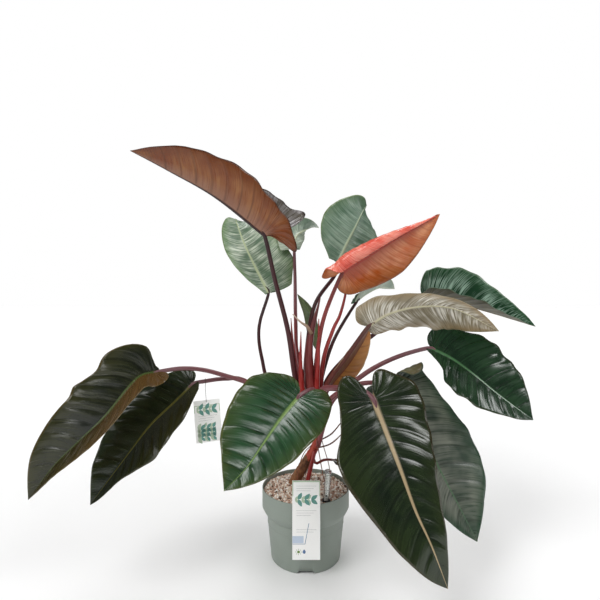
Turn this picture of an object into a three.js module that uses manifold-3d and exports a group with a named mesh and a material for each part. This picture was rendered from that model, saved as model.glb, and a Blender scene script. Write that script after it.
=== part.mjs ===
// A potted philodendron with red sheaths, in its nursery pot.
// Millimetres, +Z up. The origin is the centre of the pot's underside. -Y is the front.
import * as THREE from "three";
import { mergeVertices } from "three/addons/utils/BufferGeometryUtils.js";
import Module from "manifold-3d";

const wasm = await Module();
wasm.setup();

// Driving dimensions of the pot and what fills it.
const POT = {
  height: 190,
  rimRadius: 120,
  bodyTopRadius: 107,
  footRadius: 95,
  wall: 2.4,
  collarDrop: 50, // the straight part of the collar
  collarBottom: 70, // where the collar has drawn in to the wall below
  ledgeHeight: 95,
  footDepth: 9,
  footRingWidth: 8,
  footPadRadius: 21,
  floor: 3,
  drainRadius: 5,
  drainCircle: 62,
  drains: 5,
  notches: 3,
  notchWidth: 45, // at the bottom
  notchTopWidth: 35,
  notchHeight: 8.5,
  segments: 36,
};
const FILL = { top: 179, gap: 0.3, rings: 10, bump: 3.2 };

// What every leaf shares.
const GAP = 0.35; // between pieces that touch
const BLADE = { thickness: 1.2, keel: 3.4, stations: 13, smallStations: 9, across: [0, 0.08, 0.5, 1],
  acrossRolled: [0, 0.08, 0.3, 0.45, 0.6, 0.75, 0.88, 1], wave: 3.5, waves: 2.6 };
const STALK = { sides: 6, spacing: 40, detail: 0.12 };

// The outline of one half of a blade, from the back lobe to the tip: share of the half width, share of the
// length, and the share of the midrib at which the vein to that point starts.
const OUTLINE = [
  [0.1, -0.075, 0], [0.28, -0.15, 0], [0.52, -0.165, 0], [0.77, -0.11, 0],
  [0.93, -0.015, 0.01], [1, 0.105, 0.04], [0.99, 0.235, 0.12], [0.93, 0.365, 0.22],
  [0.86, 0.49, 0.34], [0.76, 0.61, 0.46], [0.63, 0.72, 0.59], [0.46, 0.82, 0.72],
  [0.25, 0.915, 0.86], [0, 1, 1],
];

// Colours, as a leaf or stalk of that kind shows them.
const COLOUR = {
  copper: 0x7a4426, coral: 0xd9634a, pale: 0x8fa08c, greige: 0xa8a593, green: 0x2c4a33,
  dark: 0x1d3524, black: 0x16281c, olive: 0x3d4a2c, amber: 0xa8692c, stalkDark: 0x4a2c2e,
  stalkPink: 0x7d4f50, stalkRed: 0x8f2f2c, sheath: 0xa8322e, wood: 0x7d5236, pot: 0x7a837b,
  granules: 0xc8a896, card: 0xf2f2ee, clear: 0xcdd2d0, thread: 0x3a3430,
};

// Every leaf. midrib: from the stalk's end to the tip. face: the way the upper side looks, at the base and at
// the tip. For the two sides (along midrib x face, and against it): width = half width at 0, 1/4, 1/2, 3/4
// and all of the length, fold = degrees towards the face at base and tip, curl = further bend from midrib to
// margin, flat = share of the half width before the curl starts, lobe = length of the back lobe, bend = its
// lift in mm. trim = factors on the width from the lobe to the tip, for a margin that isn't even. taper = the
// curl follows the width at each place and opens at the back lobe, so that a rolled half stays rolled up to
// the tip. stalk: from the blade down to the stem, with the radius at the stem and at the blade.
const LEAVES = {
  copper_leaf: {
    colour: COLOUR.copper, stalkColour: COLOUR.stalkDark,
    midrib: [[-111, -40, 877], [-235, -85, 971], [-345, -122, 1029], [-430, -150, 1070]],
    face: [[0.35, 0.2, 0.9], [0.45, -0.1, 0.9]],
    width: [[125, 112, 100, 95, 90], [80, 102, 112, 115, 112]],
    fold: [[62, 60], [62, 60]], curl: [[20, 40], [20, 50]], lobe: [1.0, 1.4], bend: [78, -25],
    stalk: [[-111, -40, 877], [-84, -25, 760], [-49, -18, 622], [-24, -16, 470], [10, -10, 405]],
    radius: [8, 5.5],
    trim: [[1, 1, 1.1, 1.15, 1.05, 1, 1, 1, 1, 1, 1],
      [3, 1.9, 1.3, 1.05, 1, 1, 1, 1, 1, 1, 1]],
  },
  back_left_leaf: {
    colour: COLOUR.pale, stalkColour: COLOUR.stalkDark,
    midrib: [[-111, 110, 726], [-150, 125, 800], [-190, 155, 880], [-222, 205, 957], [-238, 290, 985]],
    face: [[-0.1, 0.9, -0.3], [-0.2, 0.9, 0.1]],
    width: [[18, 62, 86, 90, 90], [88, 132, 128, 105, 90]],
    fold: [[5, 5], [5, 5]], curl: [[10, 20], [10, 20]], lobe: [0, 0.1],
    stalk: [[-111, 110, 726], [-135, 100, 645], [-139, 90, 594], [-129, 75, 536], [-103, 50, 458], [-30, 22, 405],
      [30, 5, 372]], radius: [6, 4.5],
    trim: [[0.5, 0.5, 0.55, 0.6, 0.72, 0.8, 0.85, 0.9, 0.95, 1, 1],
      [1, 1, 1, 1, 1, 1, 1, 1, 1, 1, 1]],
  },
  back_small_leaf: {
    colour: COLOUR.pale, stalkColour: COLOUR.stalkPink,
    midrib: [[-34, 140, 867], [-28, 165, 905], [-2, 210, 932], [28, 280, 955], [52, 360, 966]],
    face: [[0.1, 0.9, -0.2], [0.1, 0.3, 0.9]],
    width: [[50, 75, 75, 75, 70], [25, 50, 60, 60, 60]],
    fold: [[10, 5], [10, 5]], curl: [[20, 20], [20, 20]], lobe: [0.1, 0.1],
    stalk: [[-34, 140, 867], [-31, 120, 766], [-29, 90, 645], [-21, 50, 479], [16, 18, 405]], radius: [7, 5],
    trim: [[0.85, 0.9, 0.95, 1, 0.95, 0.8, 0.55, 0.4, 0.3, 0.3, 0.5],
      [0.8, 0.8, 0.8, 0.8, 0.7, 0.5, 0.4, 0.4, 0.4, 0.4, 0.5]],
  },
  top_round_leaf: {
    colour: COLOUR.pale, stalkColour: COLOUR.stalkDark,
    midrib: [[96, 60, 816], [120, 76, 866], [153, 104, 930], [182, 145, 985], [200, 196, 1012]],
    face: [[-0.1, 0.9, -0.3], [0, 0.8, 0.4]],
    width: [[45, 92, 102, 92, 80], [90, 118, 132, 140, 140]],
    fold: [[5, 5], [10, 10]], curl: [[10, 20], [20, 40]], lobe: [0, 0.2],
    stalk: [[96, 60, 816], [85, 50, 776], [27, 35, 691], [4, 28, 563], [2, 22, 460], [26, 14, 410]],
    radius: [7, 5],
    trim: [[0.4, 0.4, 0.5, 0.65, 0.85, 1, 1.15, 1.3, 1.4, 1.35, 1.1],
           [1, 1, 1, 1.05, 1.15, 1.2, 1.22, 1.24, 1.15, 1, 1]],
  },
  coral_leaf: {
    colour: COLOUR.coral, stalkColour: COLOUR.stalkRed,
    midrib: [[100, -20, 779], [156, -35, 815], [225, -55, 858], [349, -80, 929]],
    face: [[0, -1, 0], [0, -1, 0]],
    width: [[80, 85, 95, 95, 80], [80, 85, 85, 80, 60]],
    fold: [[-10, -5], [10, 10]], curl: [[-30, -10], [265, 235]], flat: [0, 0.22], taper: true, lobe: [0.7, 1],
    stalk: [[100, -20, 779], [53, -10, 664], [34, 0, 566], [24, 2, 454], [30, 2, 415]], radius: [7, 5],
    trim: [[1, 1, 1, 1, 1.05, 1.12, 1.1, 1.02, 0.95, 0.95, 1],
           [1.1, 1.1, 1.1, 1.15, 1.3, 1.3, 1.22, 1.1, 0.95, 0.8, 0.65]],
  },
  pale_right_leaf: {
    colour: COLOUR.greige, stalkColour: COLOUR.stalkRed,
    midrib: [[166, -60, 635], [217, -80, 669], [291, -105, 688], [370, -135, 682], [464, -165, 630]],
    face: [[0.1, 0.75, 0.6], [0.1, 0.7, 0.6]],
    width: [[85, 62, 50, 52, 56], [55, 80, 108, 112, 100]],
    fold: [[5, 5], [5, 5]], curl: [[40, 40], [10, 10]], lobe: [0.3, 0.15],
    stalk: [[166, -60, 635], [119, -42, 565], [64, -26, 486], [36, -14, 410]], radius: [8, 5.5],
    trim: [[0.9, 0.8, 0.7, 0.72, 0.8, 0.8, 0.78, 0.75, 0.8, 0.9, 1],
           [0.8, 0.8, 0.8, 0.82, 0.92, 1, 1.02, 1.03, 1.05, 1.05, 1]],
  },
  upper_right_leaf: {
    colour: COLOUR.green, stalkColour: COLOUR.stalkDark,
    midrib: [[341, 30, 705], [420, 18, 697], [500, 0, 675], [619, -40, 634]],
    face: [[0.1, -0.2, 0.9], [0.3, -0.2, 0.9]],
    width: [[85, 90, 90, 85, 80], [90, 108, 108, 96, 90]],
    fold: [[30, 4], [58, 58]], curl: [[10, 10], [10, 10]], lobe: [0.3, 0.3],
    stalk: [[341, 30, 705], [238, 48, 633], [197, 54, 603], [127, 48, 547], [64, 32, 478], [40, 14, 405]],
    radius: [8, 5],
    trim: [[1, 1, 1, 1, 1, 1, 1.05, 1.15, 1.25, 1.2, 1],
      [1, 1, 1, 1.04, 1.03, 1, 0.95, 0.9, 0.85, 0.9, 1]],
  },
  right_dark_leaf: {
    colour: COLOUR.dark, stalkColour: COLOUR.stalkPink,
    midrib: [[335, -40, 576], [387, -55, 549], [435, -80, 513], [494, -105, 461], [565, -130, 406]],
    face: [[0.35, -0.8, 0.45], [0.35, -0.8, 0.45]],
    width: [[34, 72, 94, 100, 102], [75, 105, 120, 125, 125]],
    fold: [[10, 10], [20, 10]], curl: [[-10, -10], [-10, -10]], lobe: [0.2, 0.4],
    stalk: [[335, -40, 576], [267, -40, 559], [204, -37, 532], [150, -34, 498], [77, -30, 438], [52, -22, 375],
      [34, -4, 300]], radius: [8, 5.5],
    trim: [[0.6, 0.5, 0.45, 0.5, 0.75, 1.12, 1.2, 1.08, 0.95, 1, 1],
      [1, 1, 1, 1, 1.02, 1.07, 1.1, 1.15, 1.2, 1.25, 1]],
  },
  front_large_leaf: {
    colour: COLOUR.black, stalkColour: COLOUR.stalkPink,
    midrib: [[154, -200, 475], [177, -240, 408], [200, -280, 340], [224, -310, 267], [251, -330, 206],
      [281, -340, 125]],
    face: [[0.2, -0.8, 0.5], [0.3, -0.8, 0.4]],
    width: [[100, 118, 132, 135, 138], [95, 105, 100, 95, 88]],
    fold: [[5, 5], [5, 0]], curl: [[-10, -20], [-10, -20]], lobe: [1, 1],
    stalk: [[154, -200, 475], [129, -180, 490], [83, -140, 487], [45, -90, 475], [30, -45, 440], [26, -16, 395]],
    radius: [9, 6.5],
    trim: [[1, 1, 0.98, 0.92, 0.93, 1.12, 1.05, 0.9, 0.9, 0.93, 1],
           [1, 1.02, 1.1, 1.38, 1.22, 1.04, 1, 0.97, 0.92, 0.92, 1]],
  },
  front_right_leaf: {
    colour: COLOUR.green, stalkColour: COLOUR.stalkPink,
    midrib: [[236, -60, 480], [281, -95, 395], [335, -130, 277], [369, -155, 207], [407, -175, 128]],
    face: [[0.3, -0.85, 0.4], [0.3, -0.85, 0.4]],
    width: [[95, 105, 110, 105, 110], [112, 126, 142, 148, 150]],
    fold: [[5, 10], [5, 10]], curl: [[-10, -20], [-10, -20]], lobe: [0.8, 0.7], bend: [0, 24],
    stalk: [[236, -60, 480], [157, -60, 485], [95, -52, 462], [55, -34, 420], [38, -14, 350]],
    radius: [8, 5.5],
    trim: [[1, 1, 1, 1, 1, 1, 1, 1, 1, 1, 1],
      [1, 1, 1, 0.95, 0.92, 0.96, 1.1, 1.18, 1.18, 1.1, 1]],
  },
  front_left_leaf: {
    colour: COLOUR.green, stalkColour: COLOUR.stalkPink,
    midrib: [[-16, -150, 471], [-62, -225, 432], [-96, -285, 396], [-125, -340, 366], [-158, -400, 348]],
    face: [[0.1, -0.6, 0.8], [0.1, -0.6, 0.7]],
    width: [[97, 116, 121, 117, 112], [90, 95, 92, 88, 84]],
    fold: [[20, 25], [5, 0]], curl: [[-10, -20], [-10, -20]], lobe: [0.65, 1],
    stalk: [[-16, -150, 471], [6, -125, 478], [20, -85, 470], [22, -45, 430], [30, -4, 374]], radius: [8, 6],
    trim: [[0.85, 0.9, 0.95, 1, 1.06, 1.05, 1.02, 1.03, 1.08, 1.1, 1],
      [1, 1, 1, 1, 1, 1, 1, 0.97, 0.9, 0.85, 1]],
  },
  far_left_leaf: {
    colour: COLOUR.olive, stalkColour: COLOUR.stalkPink,
    midrib: [[-371, -130, 526], [-414, -150, 512], [-473, -185, 433], [-528, -205, 377], [-578, -220, 325],
      [-630, -230, 253]],
    face: [[0.18, -0.96, 0.21], [0.18, -0.96, 0.21]],
    width: [[62, 112, 110, 104, 100], [90, 90, 90, 80, 80]],
    fold: [[10, 10], [65, 65]], curl: [[-10, -20], [0, 0]], lobe: [0.1, 0.3],
    stalk: [[-371, -130, 526], [-312, -125, 534], [-260, -112, 528], [-208, -92, 510], [-147, -68, 484],
      [-56, -32, 425], [32, -2, 336]], radius: [7, 5],
    trim: [[0.2, 0.2, 0.2, 0.2, 0.22, 0.25, 0.35, 0.95, 1.02, 0.8, 0.85, 0.97, 0.93, 0.98, 1.03, 1.05,
            1.06, 1.05, 1.03, 1, 1],
           [1, 1, 1, 1, 1, 1, 1.1, 1.2, 1.2, 1.1, 1]],
  },
  left_dark_leaf: {
    colour: COLOUR.dark, stalkColour: COLOUR.stalkPink,
    midrib: [[-291, -92, 489], [-331, -112, 447], [-384, -130, 396], [-433, -145, 332], [-521, -165, 211]],
    face: [[-0.1, -0.9, 0.4], [-0.1, -0.9, 0.4]],
    width: [[75, 95, 97, 95, 95], [50, 70, 80, 80, 78]],
    fold: [[5, 10], [34, 26]], curl: [[-10, -20], [-10, -20]], lobe: [0.4, 0.2],
    stalk: [[-291, -92, 489], [-262, -88, 495], [-210, -74, 499], [-159, -52, 488], [-50, -12, 405],
      [18, 2, 320]], radius: [7, 5],
    trim: [[0.6, 0.65, 0.75, 0.8, 0.95, 1.05, 1.12, 1.2, 1.25, 1.2, 1],
      [0.5, 0.5, 0.55, 0.65, 0.9, 1.12, 1.2, 0.95, 0.7, 0.75, 1]],
  },
  amber_leaf: {
    colour: COLOUR.amber, stalkColour: COLOUR.stalkPink,
    midrib: [[68, -2, 465], [118, 0, 523], [160, 4, 586], [181, 6, 626]],
    face: [[0.3, -0.9, -0.3], [0.3, -0.9, -0.3]],
    width: [[12, 36, 42, 42, 34], [16, 50, 58, 56, 44]],
    fold: [[20, 20], [20, 20]], curl: [[20, 20], [20, 20]], lobe: [0, 0],
    stalk: [[68, -2, 465], [56, -2, 440], [42, -4, 395]], radius: [6, 4],
  },
  back_pointed_leaf: {
    colour: COLOUR.green, stalkColour: COLOUR.stalkRed,
    midrib: [[38, 60, 560], [30, 72, 610], [12, 88, 670], [-24, 112, 724]],
    face: [[-0.3, 0.8, 0.2], [-0.3, 0.8, 0.2]],
    width: [[8, 25, 28, 28, 25], [8, 25, 28, 28, 25]],
    fold: [[30, 30], [30, 30]], curl: [[20, 20], [20, 20]], lobe: [0, 0],
    stalk: [[38, 60, 560], [38, 46, 500], [33, 8, 420]], radius: [5.5, 4],
  },
  behind_coral_leaf: {
    colour: COLOUR.green, stalkColour: COLOUR.stalkDark,
    midrib: [[150, 62, 700], [188, 104, 724], [240, 160, 744], [300, 238, 742]],
    face: [[-0.2, 0.5, 0.8], [-0.2, 0.5, 0.8]],
    width: [[20, 45, 50, 50, 45], [20, 45, 50, 50, 45]],
    fold: [[20, 20], [20, 20]], curl: [[20, 20], [20, 20]], lobe: [0.3, 0.3],
    stalk: [[150, 62, 700], [84, 44, 594], [48, 28, 490], [36, 14, 410]], radius: [6.5, 4.5],
  },
  low_leaf: {
    colour: COLOUR.dark, stalkColour: COLOUR.stalkRed,
    midrib: [[78, 15, 254], [105, -15, 250], [135, -50, 228], [158, -78, 180]],
    face: [[0.4, -0.3, 0.8], [0.8, -0.3, 0.5]],
    width: [[10, 36, 40, 40, 30], [10, 36, 40, 40, 30]],
    fold: [[20, 20], [20, 20]], curl: [[-20, -20], [-20, -20]], lobe: [0, 0],
    stalk: [[77, 14.9, 254], [52, 12, 255], [30, 10, 246], [22, 4, 262]], radius: [4, 3.2],
  },
};

// The stem, its woody foot and everything round the crown, as tapered rods: points from the root upwards,
// the radius at each end, and whether the top runs out to a point.
const RODS = {
  woody_stump: {
    colour: COLOUR.wood, radius: [18, 14],
    path: [[-42, 32, 110], [-34, 28, 178], [-10, 20, 228], [12, 12, 266]],
  },
  red_stem: {
    colour: COLOUR.stalkRed, radius: [13.5, 10],
    path: [[12.3, 11.9, 266.6], [30, 3, 305], [38, 0, 355], [32, 0, 405], [26, 0, 440]],
  },
  red_shoot: {
    colour: COLOUR.sheath, radius: [7, 5],
    path: [[-2, -10, 130], [0, -8, 178], [10, -8, 225], [26, -12, 290]],
  },
  spear: {
    colour: COLOUR.sheath, radius: [9, 1],
    path: [[12, -24, 400], [-8, -26, 450], [-14, -26, 520], [-13, -26, 620]],
  },
  left_sheath: {
    colour: COLOUR.sheath, radius: [8, 1], path: [[12, 2, 420], [-22, 2, 480], [-34, 2, 560], [-41, 2, 656]],
  },
  inner_left_sheath: {
    colour: COLOUR.sheath, radius: [7, 1],
    path: [[16, 8, 430], [-10, 10, 500], [-24, 12, 570], [-32, 12, 640]],
  },
  broad_sheath: {
    colour: COLOUR.stalkRed, radius: [15, 1.5],
    path: [[22, -6, 425], [10, -4, 500], [12, 0, 590], [41, 6, 712]],
  },
  light_sheath: {
    colour: COLOUR.sheath, radius: [8, 1.2],
    path: [[32, -18, 425], [31, -20, 480], [35, -20, 560], [36, -20, 655]],
  },
  red_spike: {
    colour: COLOUR.sheath, radius: [7, 3],
    path: [[40, -2, 430], [50, -2, 540], [76, 2, 620], [96, 6, 662], [110, 8, 712], [114, 8, 745]],
  },
  upper_dead_stalk: {
    colour: COLOUR.stalkDark, radius: [2.2, 1.8],
    path: [[36, 0, 312], [72, 6, 330], [100, 10, 360], [150, 14, 410]],
  },
  lower_dead_stalk: {
    colour: COLOUR.stalkDark, radius: [2.2, 1.8],
    path: [[32, 4, 291], [72, 10, 302], [110, 16, 334], [150, 20, 368]],
  },
};

// The printed card at the front of the pot: it hooks over the rim with a tongue cut from its middle.
const CARD = { width: 70, bottom: 53, top: 252, thickness: 0.8, x: 0, tongueWidth: 26, tongueDrop: 38,
  clear: 0.5 };
// The tag that hangs from a stalk on the left by a thread.
const TAG = { width: 66, height: 108, thickness: 0.8, topCentre: [-257, -90, 447], turn: 14, lean: -4,
  holeRadius: 2, holeDrop: 7 };
// The thread hangs from a loop on the stalk to the hole of the tag. Its route, from the loop down.
const LOOP = { centre: [-260, -87.6, 495.2], along: [0.97, 0.22, 0.08], radius: 6.8, wire: 0.6 };
const THREAD = {
  radius: 0.6,
  route: [
    [-260, -89, 487.8], [-260, -89.2, 484.7], [-260, -89.5, 481.3], [-259.9, -89.8, 477.9],
    [-259.7, -90.1, 474.5],
    [-259.4, -90.4, 471.1], [-259.1, -90.7, 467.7], [-258.8, -90.9, 464.3], [-258.5, -91.1, 460.9],
    [-258.2, -91.3, 457.5], [-257.9, -91.4, 454.1], [-257.6, -91.5, 450.7], [-257.4, -91.5, 447.3],
    [-257.2, -91.5, 443.9], [-257.1, -91.5, 440.5],
  ],
};
// The water gauge: a clear tube with a cap and a foot ring, stuck into the granules.
const GAUGE = { x: 49, y: -80, radius: 8, bottom: 135, top: 256, capHeight: 7, capRadius: 9.4,
  ringHeight: 9, ringRadius: 11, ringTop: 186, tilt: 4 };

// Solids

// A geometry as a closed solid that faces outwards.
function solidOf(geometry) {
  const plain = geometry.clone();
  for (const name of Object.keys(plain.attributes)) if (name !== "position") plain.deleteAttribute(name);
  const merged = mergeVertices(plain, 1e-3);
  const source = merged.index.array;
  const corners = [];
  for (let i = 0; i < source.length; i += 3) {
    const [a, b, c] = [source[i], source[i + 1], source[i + 2]];
    if (a !== b && b !== c && c !== a) corners.push(a, b, c);
  }
  const vertProperties = Float32Array.from(merged.attributes.position.array);
  const build = (list) => new wasm.Manifold(new wasm.Mesh({ numProp: 3, vertProperties,
    triVerts: Uint32Array.from(list) }));
  const solid = build(corners);
  return solid.volume() > 0 ? solid : build(corners.map((v, i) => corners[i - (i % 3) + 2 - (i % 3)]));
}

// The largest body of a solid, for a piece that a cut leaves with a loose scrap.
function largest(solid) {
  return solid.decompose().reduce((best, body) => (body.volume() > best.volume() ? body : best));
}

function meshOf(name, solid, colour, roughness = 0.5) {
  const data = solid.getMesh();
  const geometry = new THREE.BufferGeometry();
  geometry.setAttribute("position", new THREE.BufferAttribute(Float32Array.from(data.vertProperties), 3));
  geometry.setIndex(new THREE.BufferAttribute(Uint32Array.from(data.triVerts), 1));
  geometry.computeVertexNormals();
  const mesh = new THREE.Mesh(geometry, new THREE.MeshStandardMaterial({ color: colour, roughness, metalness: 0 }));
  mesh.name = name;
  return mesh;
}

// A value from a list spread evenly over 0 to 1, on a smooth curve through the list.
function along(list, u) {
  const spans = list.length - 1;
  const f = THREE.MathUtils.clamp(u, 0, 1) * spans;
  const i = Math.min(Math.floor(f), spans - 1);
  const t = f - i;
  const [b, c] = [list[i], list[i + 1]];
  const a = i > 0 ? list[i - 1] : 2 * b - c;
  const d = i < spans - 1 ? list[i + 2] : 2 * c - b;
  return 0.5 * (2 * b + (c - a) * t + (2 * a - 5 * b + 4 * c - d) * t * t + (3 * b - a - 3 * c + d) * t ** 3);
}

const pointsOf = (rows) => rows.map((row) => new THREE.Vector3(...row));
const smoothCurve = (rows) => new THREE.CatmullRomCurve3(pointsOf(rows), false, "catmullrom", 0.5);
const radians = THREE.MathUtils.degToRad;
const lerp = THREE.MathUtils.lerp;

// Leaves

// A midrib as an even run of points with their distance from the base.
class Midrib {
  constructor(rows, face) {
    this.points = smoothCurve(rows).getPoints(400);
    this.run = [0];
    for (let i = 1; i < this.points.length; i++)
      this.run.push(this.run[i - 1] + this.points[i].distanceTo(this.points[i - 1]));
    this.length = this.run.at(-1);
    this.face = pointsOf(face);
  }

  // The point, and the side and face directions, at a distance from the base. Behind the base it runs on
  // straight.
  frame(distance) {
    const d = THREE.MathUtils.clamp(distance, 0, this.length);
    let i = this.run.findIndex((r) => r >= d);
    i = THREE.MathUtils.clamp(i, 1, this.points.length - 1);
    const f = (d - this.run[i - 1]) / (this.run[i] - this.run[i - 1]);
    const direction = (k) => {
      const [low, high] = [Math.max(k - 1, 0), Math.min(k + 1, this.points.length - 1)];
      return this.points[high].clone().sub(this.points[low]).normalize();
    };
    const tangent = direction(i - 1).lerp(direction(i), f).normalize();
    const point = this.points[i - 1].clone().lerp(this.points[i], f).addScaledVector(tangent, distance - d);
    const face = this.face[0].clone().lerp(this.face[1], d / this.length);
    face.addScaledVector(tangent, -face.dot(tangent)).normalize();
    return { point, side: tangent.clone().cross(face), face };
  }
}

const outlineCurve = smoothCurve(OUTLINE);

// A point of the blade's middle surface: u runs along the outline from lobe to tip, v along the vein to the
// margin.
function bladePoint(leaf, rib, half, u, v) {
  const sign = half === 0 ? 1 : -1;
  const outline = outlineCurve.getPoint(u);
  const width = along(leaf.width[half], THREE.MathUtils.clamp(outline.y, 0, 1));
  const start = Math.max(outline.z, 0) * rib.length;
  const edgeX = outline.x * width * (leaf.trim ? along(leaf.trim[half], u) : 1);
  const edgeY = outline.y * rib.length * (outline.y < 0 ? leaf.lobe[half] : 1);
  const bendX = 0.55 * edgeX;
  const bendY = start + 0.22 * (edgeY - start);
  const x = 2 * v * (1 - v) * bendX + v * v * edgeX;
  const y = (1 - v) ** 2 * start + 2 * v * (1 - v) * bendY + v * v * edgeY;
  const share = THREE.MathUtils.clamp(y / rib.length, 0, 1);
  const fold = radians(lerp(...leaf.fold[half], share));
  const reach = leaf.taper ? Math.max(edgeX, 8) : width;
  const opened = leaf.taper ? 0.45 + 0.55 * THREE.MathUtils.smoothstep(y / rib.length, -0.1, 0.06) : 1;
  const straight = (leaf.flat ? leaf.flat[half] : 0) * reach;
  const curve = radians(lerp(...leaf.curl[half], share)) * opened / (reach - straight) || 1e-6;
  const near = Math.min(x, straight);
  const far = Math.max(x - straight, 0);
  const outward = near * Math.cos(fold) + (Math.sin(fold + curve * far) - Math.sin(fold)) / curve;
  const back = Math.max(-y / rib.length, 0);
  const lift = (leaf.bend ? leaf.bend[half] : 0) * (back / 0.17) ** 1.5;
  const wave = BLADE.wave * (x / width) ** 2 * Math.sin(2 * Math.PI * (BLADE.waves * y / rib.length + 0.3 * half));
  const rise = lift + wave * Math.min(1, width / 90);
  const upward = near * Math.sin(fold) - (Math.cos(fold + curve * far) - Math.cos(fold)) / curve + rise;
  const { point, side, face } = rib.frame(y);
  return point.addScaledVector(side, sign * outward).addScaledVector(face, upward);
}

// Moves the margin of both skins outwards, in the plane of the triangle that each edge belongs to.
function growMargin(margin, base, vertices, count, extra) {
  const point = (k) => new THREE.Vector3().fromBufferAttribute(base, k);
  const outward = new Map();
  for (const [p, q, r] of margin) {
    const edge = point(q).sub(point(p)).normalize();
    const away = point(p).sub(point(r));
    away.addScaledVector(edge, -away.dot(edge)).normalize();
    for (const k of [p, q]) outward.set(k, (outward.get(k) || new THREE.Vector3()).add(away));
  }
  for (const [k, away] of outward) {
    away.normalize().multiplyScalar(1.5 * extra);
    for (const start of [k * 3, (count + k) * 3])
      away.toArray().forEach((value, axis) => { vertices[start + axis] += value; });
  }
}

// A blade as a closed solid: two skins on one grid, with a keel under the midrib, joined round the margin.
function bladeSolid(leaf, extra = 0) {
  const rib = new Midrib(leaf.midrib, leaf.face);
  const rows = leaf.width[0][2] > 60 ? BLADE.stations : BLADE.smallStations;
  const across = leaf.flat ? BLADE.acrossRolled : BLADE.across;
  const columns = across.length;
  const middle = [];
  const keel = [];
  for (let half = 0; half < 2; half++)
    for (let i = 0; i <= rows; i++)
      for (const v of across) {
        middle.push(...bladePoint(leaf, rib, half, i / rows, v).toArray());
        const size = leaf.width[half][2] > 60 ? 1 : 0.5;
        keel.push(v === 0 ? size * BLADE.keel * (1 - 0.85 * (i / rows)) : 0);
      }
  const at = (half, i, j) => (half * (rows + 1) + i) * columns + j;
  const skin = [];
  for (let half = 0; half < 2; half++)
    for (let i = 0; i < rows; i++)
      for (let j = 0; j < columns - 1; j++) {
        const [a, b, c, d] = [at(half, i, j), at(half, i, j + 1), at(half, i + 1, j + 1), at(half, i + 1, j)];
        const two = (i + j) % 2 ? [a, b, c, a, c, d] : [a, b, d, b, c, d];
        if (half === 1) for (let k = 0; k < 6; k += 3) [two[k], two[k + 1]] = [two[k + 1], two[k]];
        skin.push(...two);
      }
  const positions = new THREE.BufferAttribute(new Float32Array(middle), 3);
  const bare = new THREE.BufferGeometry().setAttribute("position", positions);
  bare.setIndex(skin);
  const merged = mergeVertices(bare, 1e-3);
  const keels = new Float32Array(merged.attributes.position.count);
  for (let k = 0; k < skin.length; k++) {
    const target = merged.index.array[k];
    keels[target] = Math.max(keels[target], keel[skin[k]]);
  }
  const triangles = [];
  for (let k = 0; k < merged.index.count; k += 3) {
    const [a, b, c] = [0, 1, 2].map((n) => merged.index.array[k + n]);
    if (a !== b && b !== c && c !== a) triangles.push([a, b, c]);
  }
  merged.setIndex(triangles.flat());
  merged.computeVertexNormals();
  const count = merged.attributes.position.count;
  const base = merged.attributes.position;
  const normal = merged.attributes.normal;
  // The skin's normals follow its winding; they are turned to the leaf's face.
  const upFace = rib.frame(0.4 * rib.length).face;
  let agree = 0;
  for (let k = 0; k < count; k++) agree += new THREE.Vector3().fromBufferAttribute(normal, k).dot(upFace);
  const turn = agree > 0 ? 1 : -1;
  const vertices = new Float32Array(count * 6);
  const halfThick = BLADE.thickness / 2 + extra;
  for (let k = 0; k < count; k++) {
    const n = new THREE.Vector3().fromBufferAttribute(normal, k).multiplyScalar(turn);
    const p = new THREE.Vector3().fromBufferAttribute(base, k);
    p.clone().addScaledVector(n, halfThick).toArray(vertices, k * 3);
    p.clone().addScaledVector(n, -halfThick - keels[k]).toArray(vertices, (count + k) * 3);
  }
  const edges = new Map();
  for (const [a, b, c] of triangles)
    for (const [p, q, r] of [[a, b, c], [b, c, a], [c, a, b]]) edges.set(p + "," + q, [p, q, r]);
  const margin = [...edges.values()].filter(([p, q]) => !edges.has(q + "," + p));
  if (extra > 0) growMargin(margin, base, vertices, count, extra);
  const faces = [];
  for (const [a, b, c] of triangles) {
    faces.push(a, b, c);
    faces.push(count + a, count + c, count + b);
  }
  for (const [p, q] of margin) faces.push(q, p, count + p, q, count + p, count + q);
  const closed = new THREE.BufferGeometry().setAttribute("position", new THREE.BufferAttribute(vertices, 3));
  closed.setIndex(faces);
  return solidOf(closed);
}

// Stalks

// A rod along a smooth curve, with a radius that changes from one end to the other and flat ends.
function rodSolid(rows, radii, extra = 0, sides = STALK.sides, spacing = STALK.spacing) {
  const curve = smoothCurve(rows);
  const steps = Math.max(3, Math.round(curve.getLength() / spacing));
  const frames = curve.computeFrenetFrames(steps, false);
  const vertices = [];
  const faces = [];
  for (let i = 0; i <= steps; i++) {
    const centre = curve.getPointAt(i / steps);
    if (i === 0) centre.addScaledVector(frames.tangents[0], -extra);
    if (i === steps) centre.addScaledVector(frames.tangents[steps], extra);
    const radius = lerp(radii[0], radii[1], i / steps) + extra;
    for (let k = 0; k < sides; k++) {
      const angle = (2 * Math.PI * k) / sides;
      const p = centre.clone().addScaledVector(frames.normals[i], radius * Math.cos(angle));
      vertices.push(...p.addScaledVector(frames.binormals[i], radius * Math.sin(angle)).toArray());
    }
  }
  for (let i = 0; i < steps; i++)
    for (let k = 0; k < sides; k++) {
      const [a, b] = [i * sides + k, i * sides + ((k + 1) % sides)];
      faces.push(a, b, b + sides, a, b + sides, a + sides);
    }
  for (let k = 1; k < sides - 1; k++) {
    const last = steps * sides;
    faces.push(0, k + 1, k, last, last + k, last + k + 1);
  }
  const geometry = new THREE.BufferGeometry();
  geometry.setAttribute("position", new THREE.BufferAttribute(new Float32Array(vertices), 3));
  geometry.setIndex(faces);
  return solidOf(geometry);
}

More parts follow.
